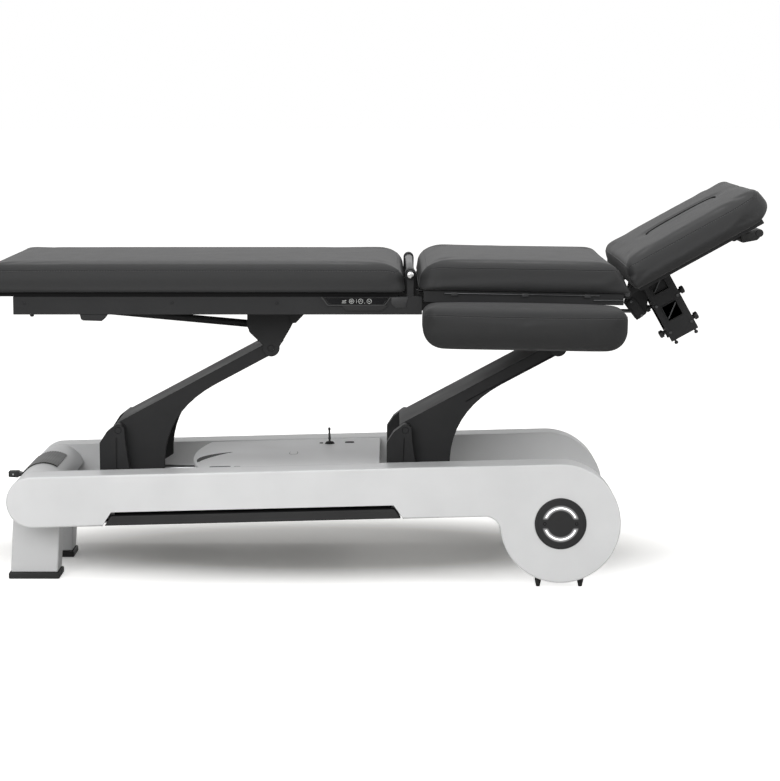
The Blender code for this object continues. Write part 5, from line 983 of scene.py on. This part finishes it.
def stuffed_block(low, high, spacing, edge, foot, corner, crown, draw, lean):
    """Points of a padded block, its quads and its lattice.

    Beyond an inner box, each lattice point's offset is turned to a unit direction and stretched by the rounds
    of the upper edges (-X end, +X end, sides, height) or of the lower ones. The plan's corners at each end go
    from square to round, the top rises by the crown times (1 - x^2)(1 - y^2), the sides draw in between the
    corners, and the lean slants the +X end back with the height.
    """
    low = np.array(low)
    high = np.array(high)
    half = (high - low) / 2
    counts = np.maximum(2, np.round((high - low) / spacing)).astype(int)
    lattice, quads = block_lattice(counts)
    point = (lattice / counts * 2 - 1) * half
    shoulder = half[2] - edge[3]
    ankle = foot[3] - half[2]
    share = np.clip((point[:, 2:] - ankle) / max(shoulder - ankle, 1e-6), 0.0, 1.0)
    at_start = point[:, :1] < 0
    upper = np.where(at_start, np.array(edge)[[0, 2, 3]], edge[1:])
    lower = np.where(at_start, np.array(foot)[[0, 2, 3]], foot[1:])
    rounds = lower + (upper - lower) * share * share * (3 - 2 * share)
    inner = half - rounds
    core = np.clip(point, -inner, inner)
    core[:, 2] = np.clip(point[:, 2], ankle, shoulder)
    rounds[:, 2] = np.where(point[:, 2] > shoulder, edge[3], foot[3])
    turn = np.tan((point - core) / rounds * (math.pi / 4))
    turn /= np.maximum(np.linalg.norm(turn, axis=1, keepdims=True), 1e-9)
    point = core + turn * rounds
    corner = np.where(at_start, corner[0], corner[1])
    straight = half[:2] - corner
    past = np.clip((np.abs(point[:, :2]) - straight) / corner, 0.0, None)
    rounded = past * np.sqrt(1 - np.clip(past[:, ::-1], 0.0, 1.0) ** 2 / 2)
    point[:, :2] = np.sign(point[:, :2]) * (np.minimum(np.abs(point[:, :2]), straight) + rounded * corner)
    unit = point[:, :2] / half[:2]
    flat = 1 - np.clip(unit ** 2, 0.0, 1.0)
    lift = np.clip((point[:, 2] - shoulder) / edge[3], 0.0, 1.0)
    height = (point[:, 2] + half[2]) / (2 * half[2])
    point[:, 2] += crown * flat[:, 0] * flat[:, 1] * lift
    waist = 4 * height * (1 - np.clip(height, 0.0, 1.0))
    point[:, :2] -= draw * (0.4 + 0.6 * waist[:, None]) * np.sign(unit) * unit ** 4 * flat[:, ::-1]
    point[:, 0] -= lean * height * np.clip(unit[:, 0], 0.0, None) ** 3
    return point + (low + high) / 2, quads, lattice, counts


def swollen(point, quads, held, cap):
    """Blow a cover up: cloth under inner pressure, held where it is fixed, each move easing off at the cap."""
    mesh = bpy.data.meshes.new("blown_cover")
    mesh.from_pydata(point.tolist(), [], quads.tolist())
    cover = linked("blown_cover", mesh)
    cover.vertex_groups.new(name="fixed").add(np.flatnonzero(held).tolist(), 1.0, "REPLACE")
    cloth = cover.modifiers.new("cloth", "CLOTH")
    for label, value in cloth_values.items():
        setattr(cloth.settings, label, value)
    cloth.settings.effector_weights.gravity = 0.0
    cloth.collision_settings.use_collision = False
    cloth.point_cache.frame_end = cloth_steps
    for step in range(1, cloth_steps + 1):
        scene.frame_set(step)
    blown = np.empty(point.size)
    final = cover.evaluated_get(bpy.context.evaluated_depsgraph_get())
    final.data.vertices.foreach_get("co", blown)
    bpy.data.objects.remove(cover)
    scene.frame_set(1)
    move = blown.reshape(-1, 3) - point
    length = np.maximum(np.linalg.norm(move, axis=1, keepdims=True), 1e-9)
    return point + move / length * cap * np.tanh(length / cap)


def side_ring(lattice, counts, level):
    """Indices of the lattice points on the four sides at one level, in order round the block."""
    i, j, k = lattice.T
    nx, ny = counts[:2]
    on_side = np.flatnonzero((k == level) & ((i == 0) | (i == nx) | (j == 0) | (j == ny)))
    i, j = i[on_side], j[on_side]
    place = np.where(j == 0, i, np.where(i == nx, nx + j, np.where(j == ny, 2 * nx + ny - i, 2 * (nx + ny) - j)))
    return on_side[np.argsort(place)]


def padded_piece(solid, body, point, quads):
    """Cushion that stands for a solid, with one subdivision, in leatherette."""
    mesh = bpy.data.meshes.new(solid + "_cover")
    mesh.from_pydata(point.tolist(), [], quads.tolist())
    mesh.shade_smooth()
    piece = linked(solid + "_cover", mesh)
    finer = piece.modifiers.new("smooth cover", "SUBSURF")
    finer.levels = 1
    finer.render_levels = 1
    shown(piece, LEATHER, body, solid)
    return piece


cord_radius = 0.0013
cord_sunk = 0.0004
stitch_pitch = 0.0065
thread_radius = 0.00055
thread_rows = np.array([(-0.0021, 0.12), (-0.0015, 0.85), (0.0015, 0.85), (0.0021, 0.12)])


def sewn(name, body, piece, ring, lower):
    """Corded seam round a cushion along a ring of its points, and stitches between that ring and the next one.

    The cord is a small circle carried along the ring. Each stitch is a short spindle lying along its row.
    """
    smooth = piece.evaluated_get(bpy.context.evaluated_depsgraph_get()).data
    place = np.empty(len(smooth.vertices) * 3)
    facing = np.empty(len(smooth.vertices) * 3)
    smooth.vertices.foreach_get("co", place)
    smooth.vertex_normals.foreach_get("vector", facing)
    place = place.reshape(-1, 3)
    path = place[ring]
    out = facing.reshape(-1, 3)[ring]
    along = unit(np.roll(path, -1, axis=0) - np.roll(path, 1, axis=0))
    cord = path[:, None] - cord_sunk * out[:, None] + cord_radius * circled(out, np.cross(along, out), 8)
    shown(linked(name + "_seam", skin(name + "_seam", cord, True)), LEATHER, body)
    row = path + 0.45 * (place[lower] - path)
    closed = np.concatenate([row, row[:1]])
    run = np.concatenate([[0.0], np.cumsum(np.linalg.norm(np.diff(closed, axis=0), axis=1))])
    stops = np.arange(0.0, run[-1] - stitch_pitch / 2, stitch_pitch)

    def along_row(values):
        """Values at the row's points, read off at the stitches by straight-line interpolation."""
        ends = np.concatenate([values, values[:1]])
        return np.stack([np.interp(stops, run, ends[:, axis]) for axis in range(3)], axis=-1)

    lie = unit(along_row(along))
    up = along_row(out)
    up = unit(up - lie * np.sum(up * lie, axis=1, keepdims=True))
    shift, share = thread_rows.T[:, :, None, None]
    stitch = (along_row(row)[:, None, None] + shift * lie[:, None, None]
              + thread_radius * share * circled(up, np.cross(lie, up), 6)[:, None])
    index = np.arange(stitch.size // 3).reshape(stitch.shape[:3])
    after = np.roll(index, -1, axis=2)
    faces = np.stack([index[:, :-1], after[:, :-1], after[:, 1:], index[:, 1:]], axis=-1).reshape(-1, 4).tolist()
    faces += index[:, 0, ::-1].tolist() + index[:, -1].tolist()
    shown(linked(name + "_stitches", meshed(name + "_stitches", stitch, faces)), THREAD, body)


def upholstered(solid, body, low, high, spacing, edge, corner, seat, foot=(0.006, 0.006, 0.007, 0.006), crown=0.003,
                draw=0.003, lean=0.0, level=1.0, held=(2, 0), reshape=None):
    """Whole cushion: a block that starts a little small, swollen off the side that it is fixed by, seated,
    subdivided and sewn; level is the seam's share of the height."""
    low = np.array(low) + cushion_start * [axis != held[0] or held[1] == 1 for axis in range(3)]
    high = np.array(high) - cushion_start * [axis != held[0] or held[1] == 0 for axis in range(3)]
    point, quads, lattice, counts = stuffed_block(low, high, spacing, edge, foot, corner, crown, draw, lean)
    if reshape:
        point = reshape(point)
    point = swollen(point, quads, lattice[:, held[0]] == held[1] * counts[held[0]], cushion_swell)
    piece = padded_piece(solid, body, seated(point, seat), quads)
    seam = int(round(level * counts[2]))
    sewn(solid + "_cover", body, piece, side_ring(lattice, counts, seam), side_ring(lattice, counts, seam - 1))
    return piece


# Long cushion
# The leg and seat section: one long foam block on its own board, its foot end cut square.
main_low, main_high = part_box("main_cushion")
upholstered("main_cushion", "top", (main_low.x - 0.004, main_low.y, main_low.z),
            (main_high.x + 0.0065, main_high.y, main_high.z - 0.001), 0.010, (0.020, 0.054, 0.026, 0.045),
            (0.016, 0.030), LEVEL)

# Middle cushion
# The back section, on the frame that hinges at the gap bar; its head end slants back to meet the head section.
upholstered("middle_cushion", "middle", (0.019, -cushion_half, -0.038), (0.552, cushion_half, 0.0345), 0.009,
            (0.058, 0.034, 0.026, 0.045), (0.032, 0.012), MIDDLE, lean=0.031)

# Head cushion and face plug
# The head section has an oblong face opening with a rolled lip, filled with a loose plug of the same make, and
# a small notch in the middle of its head end.
face_middle = 0.227
face_length = 0.103
face_width = 0.050
face_gap = 0.0008
face_square = 3.2
head_base = 0.014
head_high = 0.0875
lip_drop, lip_width = 0.0035, 0.009
notch_from, notch_run = 0.30, 0.118
notch_depth, notch_half = 0.011, 0.020


def off_face(along, across):
    """How far outside the face opening a place lies: the rounded oblong's own radius less one, times its width."""
    reach = (np.abs((along - face_middle) / face_length) ** face_square + np.abs(across / face_width) ** face_square)
    return (reach ** (1 / face_square) - 1) * face_width


def head_shape(point):
    """Head block with its top rolled down round the face opening, and its +X end notched in the middle."""
    x, y, z = point.T
    top = np.clip((z - head_base) / (head_high - head_base) * 2 - 1, 0.0, 1.0)
    rolled = lip_drop * np.exp(-(off_face(x, y) / lip_width) ** 2) * top
    end = np.clip((x - notch_from) / notch_run, 0.0, 1.0) ** 6
    notch = notch_depth * np.exp(-(y / notch_half) ** 4) * end
    return np.stack([x - notch, y, z - rolled], axis=-1)


head_cover = upholstered("head_cushion", "head", (0.013, -cushion_half, head_base), (0.415, cushion_half, head_high),
                         0.0075, (0.026, 0.016, 0.046, 0.040), (0.012, 0.092), HEAD,
                         foot=(0.004, 0.040, 0.008, 0.032), crown=0.004, reshape=head_shape)
hole = oblong(face_middle, 0.0, face_length, face_width, 120, 2 / face_square)
hole_grid = np.stack([np.insert(hole, 2, z, axis=-1) for z in (head_base - 0.02, head_high + 0.03)])
carved(head_cover, skin("face_cutter", seated(hole_grid, HEAD)))
head_cover.data.set_sharp_from_angle(angle=SHARP)


def plug_shape():
    """Plug in the opening: rings of the oblong under it, up its wall, round its rim and over a low crown."""
    wall = head_high - head_base - 0.0042
    rim = 0.0050
    rings = [(share, 0.0) for share in (0.25, 0.55, 0.85, 0.97)]
    rings += [(1.0, height) for height in np.linspace(0.003, wall, 9)]
    rings += [(1 - 0.10 * (1 - math.cos(t)), wall + rim * math.sin(t)) for t in np.linspace(0.0, math.pi / 2, 9)[1:]]
    rings += [(share, wall + rim + 0.0028 * (1 - (share / 0.90) ** 2)) for share in np.linspace(0.82, 0.06, 10)]
    share, height = np.array(rings).T
    middle = (face_middle, 0.0)
    fit = 1 - (face_gap + cushion_swell / 4) / np.array([face_length, face_width])
    plan = middle + np.multiply.outer(share, (hole - middle) * fit)
    level = np.broadcast_to((head_base + height)[:, None, None], (*plan.shape[:2], 1))
    return seated(np.concatenate([plan, level], axis=-1), HEAD)


plug = linked("face_plug_cover", skin("face_plug_cover", plug_shape()))
shown(plug, LEATHER, "head", "face_plug")

# Armrests
# Two loose-hung pads with big round ends, fixed by the inner side to the armrest brackets.
pad_inner, pad_outer = 0.345, 0.495
for side, way in SIDES:
    pad_y = sorted((way * pad_inner, way * pad_outer))
    upholstered("armrest_pad_" + side, "armrest_" + side, (0.028, pad_y[0], -0.166), (0.529, pad_y[1], -0.063),
                0.008, (0.032, 0.032, 0.022, 0.024), (0.030, 0.030), MIDDLE, foot=(0.050, 0.050, 0.022, 0.050),
                draw=0.0, level=0.84, held=(1, 1 if way < 0 else 0))
